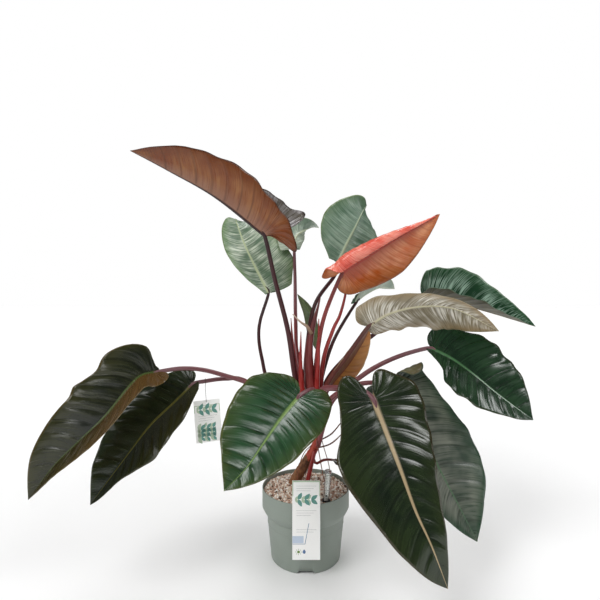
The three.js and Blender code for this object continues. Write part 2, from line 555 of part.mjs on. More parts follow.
// A leaf's stalk is listed from the blade down; it is built from the stem up.
const stalkRows = (leaf) => [...leaf.stalk].reverse();

// Pot and granules

// A solid turned round the Z axis from rows of radius and height.
function turnedSolid(rows, segments) {
  const geometry = new THREE.LatheGeometry(rows.map(([r, z]) => new THREE.Vector2(r, z)), segments);
  geometry.rotateX(Math.PI / 2);
  return solidOf(geometry);
}

// The outer radius of the pot at a height.
function potRadius(height) {
  const shoulder = POT.height - POT.collarBottom;
  if (height >= POT.height - POT.collarDrop) return POT.rimRadius;
  if (height >= shoulder) {
    const share = (height - shoulder) / (POT.collarBottom - POT.collarDrop);
    return lerp(POT.bodyTopRadius + 1, POT.rimRadius, share ** 0.8);
  }
  return lerp(POT.footRadius, POT.bodyTopRadius, height / shoulder);
}

function potSolid() {
  const { height, wall, footDepth, floor, footRingWidth, footPadRadius, rimRadius } = POT;
  const shoulder = height - POT.collarBottom;
  const ringInner = POT.footRadius - footRingWidth;
  const upper = [shoulder, shoulder + 8, height - POT.collarDrop];
  const outer = [2, POT.ledgeHeight - 1, POT.ledgeHeight, ...upper]
    .map((z) => [potRadius(z) + (z === POT.ledgeHeight ? 0.6 : 0), z]);
  const inner = upper.reverse().map((z) => [potRadius(z) - wall, z]);
  const floorTop = footDepth + floor;
  let pot = turnedSolid([
    [0, 0], [footPadRadius, 0], [footPadRadius + 2, footDepth], [ringInner, footDepth], [ringInner + 1, 0],
    [POT.footRadius - 2, 0], ...outer, [rimRadius, height - 1.5], [rimRadius - 1, height],
    [rimRadius - wall, height], ...inner,
    [potRadius(floorTop) - wall, floorTop], [0, floorTop],
  ], POT.segments);
  const notchShape = new THREE.Shape([[-POT.notchWidth, -1], [POT.notchWidth, -1], [POT.notchWidth, 0],
    [POT.notchTopWidth, POT.notchHeight], [-POT.notchTopWidth, POT.notchHeight], [-POT.notchWidth, 0]]
    .map(([x, z]) => new THREE.Vector2(x / 2, z)));
  const notch = new THREE.ExtrudeGeometry(notchShape, { depth: 2 * footRingWidth + 24, bevelEnabled: false });
  notch.rotateX(Math.PI / 2).translate(0, footRingWidth + 12, 0);
  for (let k = 0; k < POT.notches; k++) {
    const cutter = notch.clone().translate(0, -POT.footRadius, 0);
    cutter.rotateZ((2 * Math.PI * k) / POT.notches);
    pot = pot.subtract(solidOf(cutter));
  }
  const drain = new THREE.CylinderGeometry(POT.drainRadius, POT.drainRadius, 30, 10).rotateX(Math.PI / 2);
  for (let k = 0; k < POT.drains; k++) {
    const angle = (2 * Math.PI * (k + 0.5)) / POT.drains;
    const hole = drain.clone().translate(POT.drainCircle * Math.cos(angle), POT.drainCircle * Math.sin(angle), 5);
    pot = pot.subtract(solidOf(hole));
  }
  return pot;
}

// Height of the granules above their mean level: a few crossed waves, faded out at the pot's wall.
function granuleHeight(x, y) {
  const waves = Math.sin(0.43 * x + 1.3) * Math.sin(0.39 * y + 0.4) + 0.7 * Math.sin(0.31 * (x + y)) *
    Math.cos(0.36 * (x - y) + 2);
  const heap = 4 * Math.exp(-((x * x + y * y) / 3600));
  return FILL.bump * waves * 0.6 + heap;
}

function fillSolid() {
  const inside = (z) => potRadius(z) - POT.wall - FILL.gap;
  const bottom = POT.footDepth + POT.floor + FILL.gap;
  const shoulder = POT.height - POT.collarBottom;
  const top = FILL.top;
  const edge = inside(top) - 1.2;
  const rows = [[0, bottom], [inside(bottom), bottom]];
  for (const z of [shoulder, shoulder + 8, POT.height - POT.collarDrop]) rows.push([inside(z), z]);
  rows.push([inside(top), top - 8]);
  for (let k = 0; k <= FILL.rings; k++) rows.push([edge * (1 - k / FILL.rings), top]);
  const geometry = new THREE.LatheGeometry(rows.map(([r, z]) => new THREE.Vector2(r, z)), POT.segments);
  geometry.rotateX(Math.PI / 2);
  const position = geometry.attributes.position;
  for (let k = 0; k < position.count; k++) {
    if (position.getZ(k) < top - 0.5) continue;
    const [x, y] = [position.getX(k), position.getY(k)];
    const fade = THREE.MathUtils.clamp((edge - Math.hypot(x, y)) / 12, 0, 1);
    position.setZ(k, top + granuleHeight(x, y) * fade);
  }
  return solidOf(geometry);
}

// Card, tag and gauge

const box = (w, d, h, x, y, z) => new THREE.BoxGeometry(w, d, h).translate(x, y, z);

function cardSolid(extra = 0) {
  const y = -(POT.rimRadius + CARD.clear + CARD.thickness / 2);
  const t = CARD.thickness + 2 * extra;
  const overRim = POT.height + CARD.clear + CARD.thickness / 2;
  const innerY = -(POT.rimRadius - POT.wall - 3.4);
  const tongue = CARD.tongueWidth + 2 * extra;
  return solidOf(box(CARD.width, t, CARD.top - CARD.bottom, CARD.x, y, (CARD.top + CARD.bottom) / 2))
    .add(solidOf(box(tongue, innerY - y + t, t, CARD.x, (y + innerY) / 2, overRim)))
    .add(solidOf(box(tongue, t, CARD.tongueDrop + 2 * extra, CARD.x, innerY,
      overRim + t / 2 - CARD.tongueDrop / 2 - extra)));
}

function tagSolid() {
  const plate = solidOf(box(TAG.width, TAG.thickness, TAG.height, 0, 0, -TAG.height / 2));
  const hole = new THREE.CylinderGeometry(TAG.holeRadius, TAG.holeRadius, 10, 10).translate(0, 0, -TAG.holeDrop);
  return plate.subtract(solidOf(hole));
}

// The ring round the gauge's foot, grown by the gap where the granules are cut for it.
function ringSolid(extra = 0) {
  const inner = GAUGE.radius + (extra ? 0 : GAP);
  const outer = GAUGE.ringRadius + extra;
  const top = GAUGE.ringTop - GAUGE.bottom + extra;
  const bottom = top - GAUGE.ringHeight - 2 * extra;
  return turnedSolid([[inner, bottom], [outer, bottom], [outer, top], [inner, top], [inner, bottom]], 16);
}

function gaugeGroup() {
  const group = new THREE.Group();
  const height = GAUGE.top - GAUGE.bottom;
  const tube = turnedSolid([[0, 0], [GAUGE.radius, 0], [GAUGE.radius, height], [0, height]], 16);
  const cap = turnedSolid([[0, 0], [GAUGE.capRadius, 0], [GAUGE.capRadius, GAUGE.capHeight - 2],
    [GAUGE.capRadius - 2, GAUGE.capHeight], [0, GAUGE.capHeight]], 16);
  const ring = ringSolid();
  const capMesh = meshOf("gauge_cap", cap, COLOUR.clear, 0.2);
  capMesh.position.z = height + GAP;
  group.add(meshOf("gauge_tube", tube, COLOUR.clear, 0.1), capMesh, meshOf("gauge_ring", ring, COLOUR.stalkDark));
  group.position.set(GAUGE.x, GAUGE.y, GAUGE.bottom);
  group.rotation.y = radians(GAUGE.tilt);
  return group;
}

// The plant in its pot

const plant = new THREE.Group();
const pot = potSolid();
const gauge = gaugeGroup();
gauge.updateMatrixWorld(true);
const gaugeHeight = GAUGE.top - GAUGE.bottom;
const gaugeClear = solidOf(new THREE.CylinderGeometry(GAUGE.radius + GAP, GAUGE.radius + GAP,
  gaugeHeight + 2 * GAP, 16).rotateX(Math.PI / 2).translate(0, 0, gaugeHeight / 2)).add(ringSolid(GAP))
  .transform(gauge.matrixWorld.elements);

// Rods and stalks are built from the stem outwards; each is cut clear of all that stand before it.
let taken = null;
const take = (solid) => { taken = taken ? taken.add(solid) : solid; };
const bladeOf = {};
for (const [name, leaf] of Object.entries(LEAVES)) {
  bladeOf[name] = bladeSolid(leaf);
  take(bladeSolid(leaf, GAP));
}
const rods = {};
const cutClear = (solid) => largest(largest(solid.subtract(taken)).asOriginal().simplify(STALK.detail));
for (const name of ["woody_stump", "red_stem"]) {
  const { path, radius } = RODS[name];
  rods[name] = cutClear(rodSolid(path, radius, 0, 10));
  take(rodSolid(path, radius, GAP, 10));
}
for (const [name, leaf] of Object.entries(LEAVES)) {
  const seat = wasm.Manifold.sphere(leaf.radius[1] + 2.5, 12).translate(leaf.stalk[0]);
  const joint = bladeSolid(leaf, 1.6 * GAP).add(bladeOf[name]).intersect(seat).hull();
  rods[name + "_stalk"] = cutClear(rodSolid(stalkRows(leaf), leaf.radius).subtract(joint));
  take(rodSolid(stalkRows(leaf), leaf.radius, GAP));
}
for (const [name, { path, radius }] of Object.entries(RODS)) {
  if (rods[name]) continue;
  rods[name] = cutClear(rodSolid(path, radius));
  take(rodSolid(path, radius, GAP));
}

const fill = largest(fillSolid().subtract(taken).subtract(gaugeClear).subtract(cardSolid(GAP)));
plant.add(meshOf("nursery_pot", pot, COLOUR.pot, 0.6), meshOf("granules", fill, COLOUR.granules, 0.9));
for (const [name, leaf] of Object.entries(LEAVES)) {
  plant.add(meshOf(name + "_blade", bladeOf[name], leaf.colour, 0.35));
  plant.add(meshOf(name + "_stalk", rods[name + "_stalk"], leaf.stalkColour, 0.45));
}
for (const [name, { colour }] of Object.entries(RODS)) plant.add(meshOf(name, rods[name], colour, 0.5));
plant.add(gauge, meshOf("care_card", cardSolid(), COLOUR.card, 0.6));

const tag = meshOf("hang_tag", tagSolid(), COLOUR.card, 0.6);
tag.position.set(...TAG.topCentre);
tag.rotation.set(0, radians(TAG.lean), radians(TAG.turn));
const loop = meshOf("tag_loop", solidOf(new THREE.TorusGeometry(LOOP.radius, LOOP.wire, 5, 14)), COLOUR.thread);
loop.position.set(...LOOP.centre);
loop.quaternion.setFromUnitVectors(new THREE.Vector3(0, 0, 1), new THREE.Vector3(...LOOP.along).normalize());
const thread = rodSolid(THREAD.route, [THREAD.radius, THREAD.radius], 0, 6, 4.8);
plant.add(tag, loop, meshOf("tag_thread", thread, COLOUR.thread));

export default plant;
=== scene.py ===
"""Looks for a potted philodendron with red sheaths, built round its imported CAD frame.

Every shape is a surface of two parameters worked out with numpy in millimetres, in the frame of the CAD part
(+Z up, the pot's axis at the origin, -Y towards the viewer), and turned to metres when it becomes a mesh.
"""

from __future__ import annotations

import logging
import math
from dataclasses import dataclass, field
from enum import Enum
from typing import Callable, Optional, Sequence

import bmesh
import bpy
import numpy as np
from bpy.types import Material, Mesh, Node, NodeSocket, NodeTree, Object
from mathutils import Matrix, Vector


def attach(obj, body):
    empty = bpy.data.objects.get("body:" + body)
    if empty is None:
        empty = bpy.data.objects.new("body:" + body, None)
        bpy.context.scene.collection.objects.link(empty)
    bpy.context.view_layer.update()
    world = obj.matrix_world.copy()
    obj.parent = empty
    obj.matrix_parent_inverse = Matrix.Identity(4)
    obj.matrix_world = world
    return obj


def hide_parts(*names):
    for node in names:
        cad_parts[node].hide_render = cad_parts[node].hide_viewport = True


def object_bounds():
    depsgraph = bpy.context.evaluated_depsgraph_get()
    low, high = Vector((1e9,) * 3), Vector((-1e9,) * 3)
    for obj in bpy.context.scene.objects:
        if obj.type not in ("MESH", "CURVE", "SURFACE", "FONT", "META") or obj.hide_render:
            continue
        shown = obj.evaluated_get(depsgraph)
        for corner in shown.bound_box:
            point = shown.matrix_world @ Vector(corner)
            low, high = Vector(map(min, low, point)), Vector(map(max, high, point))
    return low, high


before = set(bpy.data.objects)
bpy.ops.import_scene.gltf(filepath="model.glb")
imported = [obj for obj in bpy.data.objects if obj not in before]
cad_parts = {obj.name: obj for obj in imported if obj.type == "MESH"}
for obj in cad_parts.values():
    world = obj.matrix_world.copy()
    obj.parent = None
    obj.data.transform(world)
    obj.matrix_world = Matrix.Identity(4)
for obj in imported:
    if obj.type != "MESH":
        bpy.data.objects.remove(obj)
CAD_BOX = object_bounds()

LOG = logging.getLogger("philodendron")
MM = 0.001  # metres in a millimetre
BOX_MARGIN = 0.05  # mm by which the blades and stalks stay inside the CAD box
Array = np.ndarray
Point = tuple[float, float, float]


# Numbers and curves


def linear(hex_code: str) -> tuple[float, float, float, float]:
    """Turns an sRGB hex value into the linear colour that a shader reads.

    Args:
        hex_code: six hex digits, such as "7a837b".

    Returns:
        Red, green, blue and an alpha of 1.
    """
    channels = [int(hex_code[k:k + 2], 16) / 255 for k in (0, 2, 4)]
    return (*(c / 12.92 if c <= 0.04045 else ((c + 0.055) / 1.055) ** 2.4 for c in channels), 1.0)


def smoothstep(low: float, high: float, x: Array) -> Array:
    """A ramp from 0 at low to 1 at high with flat ends: 3t squared less 2t cubed."""
    t = np.clip((x - low) / (high - low), 0, 1)
    return t * t * (3 - 2 * t)


def unit(v: Array) -> Array:
    """Vectors of length one along the last axis."""
    return v / np.maximum(np.linalg.norm(v, axis=-1, keepdims=True), 1e-9)


def run_of(line: Array) -> Array:
    """Distance along a line of points from its first to each of them, the sum of the steps between them."""
    return np.r_[0, np.cumsum(np.linalg.norm(np.diff(line, axis=0), axis=1))]


def curve(points: Sequence, u: Array) -> Array:
    """Points on the Catmull-Rom curve through a list, whose spans share the range of u evenly.

    Args:
        points: control points, as rows.
        u: positions from 0 to 1.

    Returns:
        An array of u's shape with the points' own axis added.
    """
    rows = np.asarray(points, float)
    rows = np.vstack([2 * rows[0] - rows[1], rows, 2 * rows[-1] - rows[-2]])
    spans = len(rows) - 3
    place = np.clip(np.asarray(u, float) * spans, 0, spans - 1e-9)
    i = place.astype(int)
    t = (place - i)[..., None]
    a, b, c, d = rows[i], rows[i + 1], rows[i + 2], rows[i + 3]
    cubic = (3 * b - a - 3 * c + d) * t ** 3
    return 0.5 * (2 * b + (c - a) * t + (2 * a - 5 * b + 4 * c - d) * t ** 2 + cubic)


def values(listed: Sequence[float], u: Array) -> Array:
    """The same curve for a list of single numbers."""
    return curve(np.asarray(listed, float)[:, None], u)[..., 0]


# Meshes


@dataclass
class Surface:
    """A mesh in the making.

    points are in mm, faces are blocks of corner numbers, uvs the same blocks' texture places, and fields are
    numbers stored on the points.
    """

    points: Array
    faces: list[Array]
    uvs: list[Array]
    fields: dict[str, Array] = field(default_factory=dict)

    def moved(self, offset: Sequence[float]) -> "Surface":
        """The same surface shifted by an offset in mm."""
        return Surface(self.points + np.asarray(offset, float), self.faces, self.uvs, self.fields)

    def mesh(self, name: str) -> Mesh:
        """The points in metres and the faces as a mesh.

        Args:
            name: the mesh's name.

        Returns:
            The new mesh.
        """
        made = bpy.data.meshes.new(name)
        faces = [f for block in self.faces for f in block.tolist()]
        made.from_pydata((self.points * MM).tolist(), [], faces)
        return made


def join(parts: Sequence[Surface]) -> Surface:
    """Puts several surfaces into one.

    Args:
        parts: surfaces with the same fields.

    Returns:
        The one surface.
    """
    faces, uvs, start = [], [], 0
    for part in parts:
        faces += [f + start for f in part.faces]
        uvs += part.uvs
        start += len(part.points)
    fields = {k: np.concatenate([p.fields[k] for p in parts]) for k in parts[0].fields}
    return Surface(np.concatenate([p.points for p in parts]), faces, uvs, fields)


def point_outwards(mesh: Mesh, weld: float) -> None:
    """Merges a mesh's near points and turns every face outwards.

    Args:
        mesh: the mesh.
        weld: distance in metres within which points are merged, 0 to leave them.
    """
    work = bmesh.new()
    work.from_mesh(mesh)
    if weld:
        bmesh.ops.remove_doubles(work, verts=work.verts, dist=weld)
    bmesh.ops.recalc_face_normals(work, faces=work.faces)
    work.to_mesh(mesh)
    work.free()


def grid_faces(rows: int, columns: int, wrap: bool = False) -> tuple[Array, Array]:
    """Faces of a grid of points stored row by row.

    Args:
        rows: number of rows of points.
        columns: number of points in a row.
        wrap: closes each row on itself.

    Returns:
        Corner numbers (faces, 4) and their UVs (faces, 4, 2), U along a row and V across the rows.
    """
    across = columns if wrap else columns - 1
    i, j = np.meshgrid(np.arange(rows - 1), np.arange(across), indexing="ij")
    i, j = i.ravel(), j.ravel()
    k = (j + 1) % columns
    faces = np.stack([i * columns + j, i * columns + k, (i + 1) * columns + k, (i + 1) * columns + j], 1)
    low, high = j / across, (j + 1) / across
    near, far = i / (rows - 1), (i + 1) / (rows - 1)
    uv = np.stack([np.stack([low, near], 1), np.stack([high, near], 1), np.stack([high, far], 1),
                   np.stack([low, far], 1)], 1)
    return faces, uv


def tube(route: Sequence[Point], radius: Callable[[Array], Array], sides: int, spacing: float,
         section: Callable[[Array, Array], Array]) -> Surface:
    """A closed rod: rings round a Catmull-Rom curve, each a circle times a factor, capped at both ends.

    Args:
        route: points of the centre line in mm.
        radius: radius in mm for a share of the length from 0 to 1.
        sides: points in a ring.
        spacing: distance between rings in mm.
        section: factor on the radius for the angle and the share of the length.

    Returns:
        The rod, with a field "along" that runs from 0 to 1.
    """
    fine = curve(route, np.linspace(0, 1, 40 * len(route)))  # 40 samples for each point of the route
    run = run_of(fine)
    rings = max(4, int(run[-1] / spacing) + 1)
    share = np.linspace(0, 1, rings)
    centre = np.stack([np.interp(share * run[-1], run, fine[:, k]) for k in range(3)], 1)
    tangent = unit(np.gradient(centre, axis=0))
    reference = np.eye(3)[np.argmin(np.abs(tangent).max(axis=0))]
    side = unit(np.cross(tangent, reference))
    other = np.cross(tangent, side)
    angle = np.arange(sides) * 2 * np.pi / sides
    size = radius(share)[:, None] * section(angle[None, :], share[:, None])
    points = (centre[:, None] + size[..., None] * (np.cos(angle)[None, :, None] * side[:, None]
                                                   + np.sin(angle)[None, :, None] * other[:, None]))
    faces, uv = grid_faces(rings, sides, wrap=True)
    start = rings * sides
    ring = np.arange(sides)
    caps = np.concatenate([np.stack([np.full(sides, start), (ring + 1) % sides, ring], 1),
                           np.stack([np.full(sides, start + 1), start - sides + ring,
                                     start - sides + (ring + 1) % sides], 1)])
    cap_uv = np.zeros((2 * sides, 3, 2))
    cap_uv[sides:, :, 1] = 1
    return Surface(np.concatenate([points.reshape(-1, 3), centre[[0, -1]]]), [faces, caps], [uv, cap_uv],
                   {"along": np.r_[np.repeat(share, sides), 0, 1]})


def lathe(profile: Array, segments: int,
          lift: Optional[Callable[[Array, Array, Array], Array]] = None) -> Surface:
    """A profile of radius and height turned round Z, with its ends on the axis or meeting each other.

    Args:
        profile: rows of radius and height in mm, outwards along the underside first.
        segments: steps round the axis.
        lift: new heights for the angle, radius and height of each point.

    Returns:
        The turned surface.
    """
    turned = (len(profile), segments)
    angle = np.broadcast_to(np.arange(segments) * 2 * np.pi / segments, turned)
    radius, height = (np.broadcast_to(profile[:, k:k + 1], turned) for k in (0, 1))
    if lift:
        height = lift(angle, radius, height)
    points = np.stack([radius * np.cos(angle), radius * np.sin(angle), height], -1)
    faces, uv = grid_faces(len(profile), segments, wrap=True)
    return Surface(points.reshape(-1, 3), [faces], [uv])


def rounded(corners: Sequence[Point], steps: int = 4) -> Array:
    """A polyline whose corners are replaced by arcs, each a quadratic curve from side to side.

    Args:
        corners: radius, height and rounding of each corner, in mm.
        steps: points in each arc after its first.

    Returns:
        Rows of radius and height.
    """
    rows = [corners[0][:2]]
    t = np.linspace(0, 1, steps + 1)[:, None]
    for before, here, after in zip(corners, corners[1:], corners[2:]):
        a, b, c = (np.asarray(p[:2], float) for p in (before, here, after))
        if here[2] <= 0:
            rows.append(tuple(b))
            continue
        start = b + (a - b) / np.linalg.norm(a - b) * min(here[2], 0.48 * np.linalg.norm(a - b))
        end = b + (c - b) / np.linalg.norm(c - b) * min(here[2], 0.48 * np.linalg.norm(c - b))
        rows += [tuple(p) for p in (1 - t) ** 2 * start + 2 * t * (1 - t) * b + t ** 2 * end]
    rows.append(corners[-1][:2])
    return np.array(rows, float)


def plate(outline: Array, low: float, high: float) -> Surface:
    """A flat plate between two depths: a fan from its middle on each face and a wall round its outline.

    Args:
        outline: rows of x and z in mm, anticlockwise as seen from the front.
        low: y of the front face in mm.
        high: y of the back face in mm.

    Returns:
        The closed plate.
    """
    n = len(outline)
    middle = outline.mean(axis=0)
    ring = np.concatenate([outline, middle[None]])
    points = np.concatenate([np.stack([ring[:, 0], np.full(n + 1, y), ring[:, 1]], 1) for y in (low, high)])
    k = np.arange(n)
    nxt = (k + 1) % n
    fans = np.concatenate([np.stack([np.full(n, n), k, nxt], 1),
                           np.stack([np.full(n, 2 * n + 1), n + 1 + nxt, n + 1 + k], 1)])
    wall = np.stack([k, n + 1 + k, n + 1 + nxt, nxt], 1)
    return Surface(points, [fans, wall], [np.zeros((2 * n, 3, 2)), np.zeros((n, 4, 2))])


def new_object(name: str, data: object) -> Object:
    """Puts some data into the scene.

    Args:
        name: the object's name.
        data: its mesh, lamp or camera.

    Returns:
        The object.
    """
    made = bpy.data.objects.new(name, data)
    bpy.context.scene.collection.objects.link(made)
    return made


@dataclass(frozen=True)
class Piece:
    """A finished piece.

    name is its own, slot a record slot that is not used, stands_for the CAD nodes in whose place it stands,
    and smooth tells whether its faces are shaded as one surface.
    """

    name: str
    slot: str
    stands_for: tuple[str, ...] = ()
    smooth: bool = True

    def build(self, surface: Surface, material: Material, weld: float = 0.0) -> Object:
        """Turns a surface into an object with a material, in place of the CAD nodes that it stands for.

        Args:
            surface: the shape in mm.
            material: its finish.
            weld: distance in mm within which points are merged, 0 to leave them.

        Returns:
            The object, at the origin with its place in its mesh.
        """
        mesh = surface.mesh(self.name)
        uv = np.concatenate([block.reshape(-1) for block in surface.uvs])
        mesh.uv_layers.new(name="UVMap").data.foreach_set("uv", uv.astype(np.float32))
        for name, numbers in surface.fields.items():
            kept = mesh.attributes.new(name, "FLOAT", "POINT")
            kept.data.foreach_set("value", numbers.astype(np.float32).ravel())
        point_outwards(mesh, weld * MM)
        mesh.polygons.foreach_set("use_smooth", np.full(len(mesh.polygons), self.smooth))
        mesh.materials.append(material)
        made = new_object(self.name, mesh)
        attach(made, "root")
        if self.stands_for:
            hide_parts(*self.stands_for)
        LOG.info("%s: %d faces", self.name, len(mesh.polygons))
        return made


def dress(node: str, material: Material) -> None:
    """Gives a carried-over CAD node its material and leaves its mesh alone.

    Args:
        node: the node's name.
        material: its finish.
    """
    slots = bpy.data.objects[node].data.materials
    slots.clear()
    slots.append(material)
    LOG.info("%s: dressed", node)


# Finishes


def add(tree: NodeTree, kind: str, inputs: Optional[dict] = None, **settings: object) -> Node:
    """Adds a node, sets its properties, and fills each named or numbered input by a value or a link.

    Args:
        tree: the material's or the world's nodes.
        kind: Blender's name of the node's type.
        inputs: a value or an output socket for each input, by its name or number.
        settings: the node's own properties.

    Returns:
        The node.
    """
    made = tree.nodes.new(kind)
    for name, value in settings.items():
        setattr(made, name, value)
    for name, value in (inputs or {}).items():
        if isinstance(value, NodeSocket):
            tree.links.new(value, made.inputs[name])
        else:
            made.inputs[name].default_value = value
    return made


def new_material(name: str) -> tuple[Material, NodeTree, Node]:
    """A new node material.

    Args:
        name: what the real material is called.

    Returns:
        The material, its nodes, and its principled shader, which is linked to the output.
    """
    material = bpy.data.materials.new(name)
    material.use_nodes = True
    tree = material.node_tree
    return material, tree, tree.nodes["Principled BSDF"]


def stored(tree: NodeTree, name: str) -> NodeSocket:
    """The socket of a field that is stored on the piece's points."""
    return add(tree, "ShaderNodeAttribute", attribute_name=name).outputs["Fac"]


def blend(tree: NodeTree, share: object, first: object, second: object) -> NodeSocket:
    """Mixes two colours, each a hex value or a socket, by a share of the second."""
    colours = [linear(c) if isinstance(c, str) else c for c in (first, second)]
    return add(tree, "ShaderNodeMix", {0: share, 6: colours[0], 7: colours[1]}, data_type="RGBA").outputs[2]


def ramp(tree: NodeTree, value: NodeSocket, low: float, high: float,
         start: float = 0.0, end: float = 1.0) -> NodeSocket:
    """Maps a value from the range low to high to the range start to end, held at the ends."""
    return add(tree, "ShaderNodeMapRange", {0: value, 1: low, 2: high, 3: start, 4: end}).outputs[0]


@dataclass(frozen=True)
class LeafFace:
    """Colours of one face of a blade.

    base and streak_and_painted_sheen are its dark and its light streaks; the light ones are partly the
    tissue's own colour and partly a painted sheen of the wax's gloss. vein and rib are the side veins and the
    midrib.
    gloss is the roughness. halo is what the face turns to towards the margin, and painted_light_by_midrib is
    painted light beside the midrib: painted shade where the face lies in a fold, and a painted sheen where it
    catches the light.
    """

    base: str
    streak_and_painted_sheen: str
    vein: str
    rib: str
    gloss: float
    halo: Optional[str] = None
    painted_light_by_midrib: Optional[str] = None

    def colour(self, tree: NodeTree, streaks: NodeSocket) -> NodeSocket:
        """Colour of the face: base, light streaks partly of painted sheen, halo, painted light by the midrib,
        side veins and midrib.

        Args:
            tree: the material's nodes.
            streaks: how strong the light streaks are, from 0 to 1; they are partly a painted sheen.

        Returns:
            The socket of the colour.
        """
        # the light streak colour is partly a painted sheen of the wax's gloss
        colour = blend(tree, ramp(tree, streaks, 0.12, 0.62), self.base, self.streak_and_painted_sheen)
        if self.halo:
            colour = blend(tree, ramp(tree, stored(tree, "halo"), 0, 1.2, 0, 0.85), colour, self.halo)
        # painted light beside the midrib: painted shade in the coral leaf's fold, a painted sheen on the
        # copper underside
        if self.painted_light_by_midrib:
            uv = add(tree, "ShaderNodeUVMap", uv_map="UVMap").outputs[0]
            across = add(tree, "ShaderNodeSeparateXYZ", {0: uv}).outputs[1]
            colour = blend(tree, ramp(tree, across, 0.02, 0.4, 0.8, 0), colour, self.painted_light_by_midrib)
        colour = blend(tree, ramp(tree, stored(tree, "vein"), 0, 1, 0, 0.75), colour, self.vein)
        return blend(tree, stored(tree, "rib"), colour, self.rib)


@dataclass(frozen=True)
class LeafFinish:
    """Leaf tissue under a waxy cuticle, streaked between its side veins, the light streaks partly a painted
    sheen of its gloss.

    upper and under are the two faces and margin the rim. streak_share is how much the streaks, partly painted
    sheen, differ from the tissue between them, and flush a second colour over one half of the upper face, as
    on a fading leaf.
    """

    name: str
    upper: LeafFace
    under: LeafFace
    margin: str
    streak_share: float = 0.5
    flush: Optional[str] = None

    def material(self) -> Material:
        """Makes the leaf material.

        Returns:
            The material, which reads the blade's UV map and its fields vein, rib, edge, under, halo and half.
        """
        material, tree, shader = new_material(self.name)
        uv = add(tree, "ShaderNodeUVMap", uv_map="UVMap").outputs[0]
        place = add(tree, "ShaderNodeTexCoord").outputs["Object"]
        # Streaks along the side veins, 120 to the length and 1.3 to the width: 3 mm wide and 80 mm long on a
        # grown leaf. The real ones are half as wide, which the render wouldn't show.
        along = add(tree, "ShaderNodeMapping", {0: uv, 3: (120.0, 1.3, 1.0)}).outputs[0]
        streak = add(tree, "ShaderNodeTexNoise", {0: along, "Scale": 1.0, "Detail": 3.0}).outputs[0]
        # Cloudy patches about 60 mm wide, in which the streaks are strong or weak; where they are strong,
        # their light colour makes patches of painted sheen.
        patch = add(tree, "ShaderNodeTexNoise", {0: place, "Scale": 16.0, "Detail": 2.0}).outputs[0]
        strong = ramp(tree, streak, 0.4, 0.64, 1 - self.streak_share, 1)
        wide = ramp(tree, patch, 0.3, 0.7, 0.1, 1)
        streaks = add(tree, "ShaderNodeMath", {0: strong, 1: wide}, operation="MULTIPLY").outputs[0]
        upper = self.upper.colour(tree, streaks)
        if self.flush:
            share = add(tree, "ShaderNodeMath", {0: stored(tree, "half"), 1: stored(tree, "rib")},
                        operation="SUBTRACT").outputs[0]
            upper = blend(tree, ramp(tree, share, 0, 1, 0, 0.85), upper, self.flush)
        below = stored(tree, "under")
        colour = blend(tree, below, upper, self.under.colour(tree, streaks))
        colour = blend(tree, ramp(tree, stored(tree, "edge"), 0, 1, 0, 0.8), colour, self.margin)
        tree.links.new(colour, shader.inputs["Base Color"])
        worn = ramp(tree, streak, 0.3, 0.75, self.upper.gloss - 0.06, self.upper.gloss + 0.1)
        dull = ramp(tree, streak, 0.3, 0.75, self.under.gloss - 0.05, self.under.gloss + 0.08)
        rough = add(tree, "ShaderNodeMix", {0: below, 2: worn, 3: dull}, data_type="FLOAT").outputs[0]
        tree.links.new(rough, shader.inputs["Roughness"])
        relief = add(tree, "ShaderNodeBump", {"Strength": 0.5, "Distance": 0.9 * MM, "Height": streak})
        tree.links.new(relief.outputs[0], shader.inputs["Normal"])
        shader.inputs["IOR"].default_value = 1.5  # leaf wax
        return material


@dataclass(frozen=True)
class StalkFinish:
    """A fleshy stalk or sheath: waxy skin with lengthwise lines.

    foot and top are its colours at either end, which meet halfway, line the colour of its lines, and gloss
    its roughness.
    """

    name: str
    foot: str
    top: str
    line: str
    gloss: float

    def material(self) -> Material:
        """Makes the stalk material.

        Returns:
            The material, which reads the rod's UV map and its field along.
        """
        material, tree, shader = new_material(self.name)
        uv = add(tree, "ShaderNodeUVMap", uv_map="UVMap").outputs[0]
        # Lines about 2 mm wide and 90 mm long on a 14 mm stalk, coarser than the real ones, which the render
        # wouldn't show.
        stretched = add(tree, "ShaderNodeMapping", {0: uv, 3: (14.0, 3.0, 1.0)}).outputs[0]
        lines = add(tree, "ShaderNodeTexNoise", {0: stretched, "Scale": 1.6, "Detail": 4.0}).outputs[0]
        colour = blend(tree, ramp(tree, stored(tree, "along"), 0.1, 0.9), self.foot, self.top)
        colour = blend(tree, ramp(tree, lines, 0.42, 0.7, 0, 0.75), colour, self.line)
        tree.links.new(colour, shader.inputs["Base Color"])
        rough = ramp(tree, lines, 0.3, 0.7, self.gloss - 0.05, self.gloss + 0.12)
        tree.links.new(rough, shader.inputs["Roughness"])
        relief = add(tree, "ShaderNodeBump", {"Strength": 0.3, "Distance": 0.5 * MM, "Height": lines})
        tree.links.new(relief.outputs[0], shader.inputs["Normal"])
        shader.inputs["IOR"].default_value = 1.42  # moist plant skin
        return material


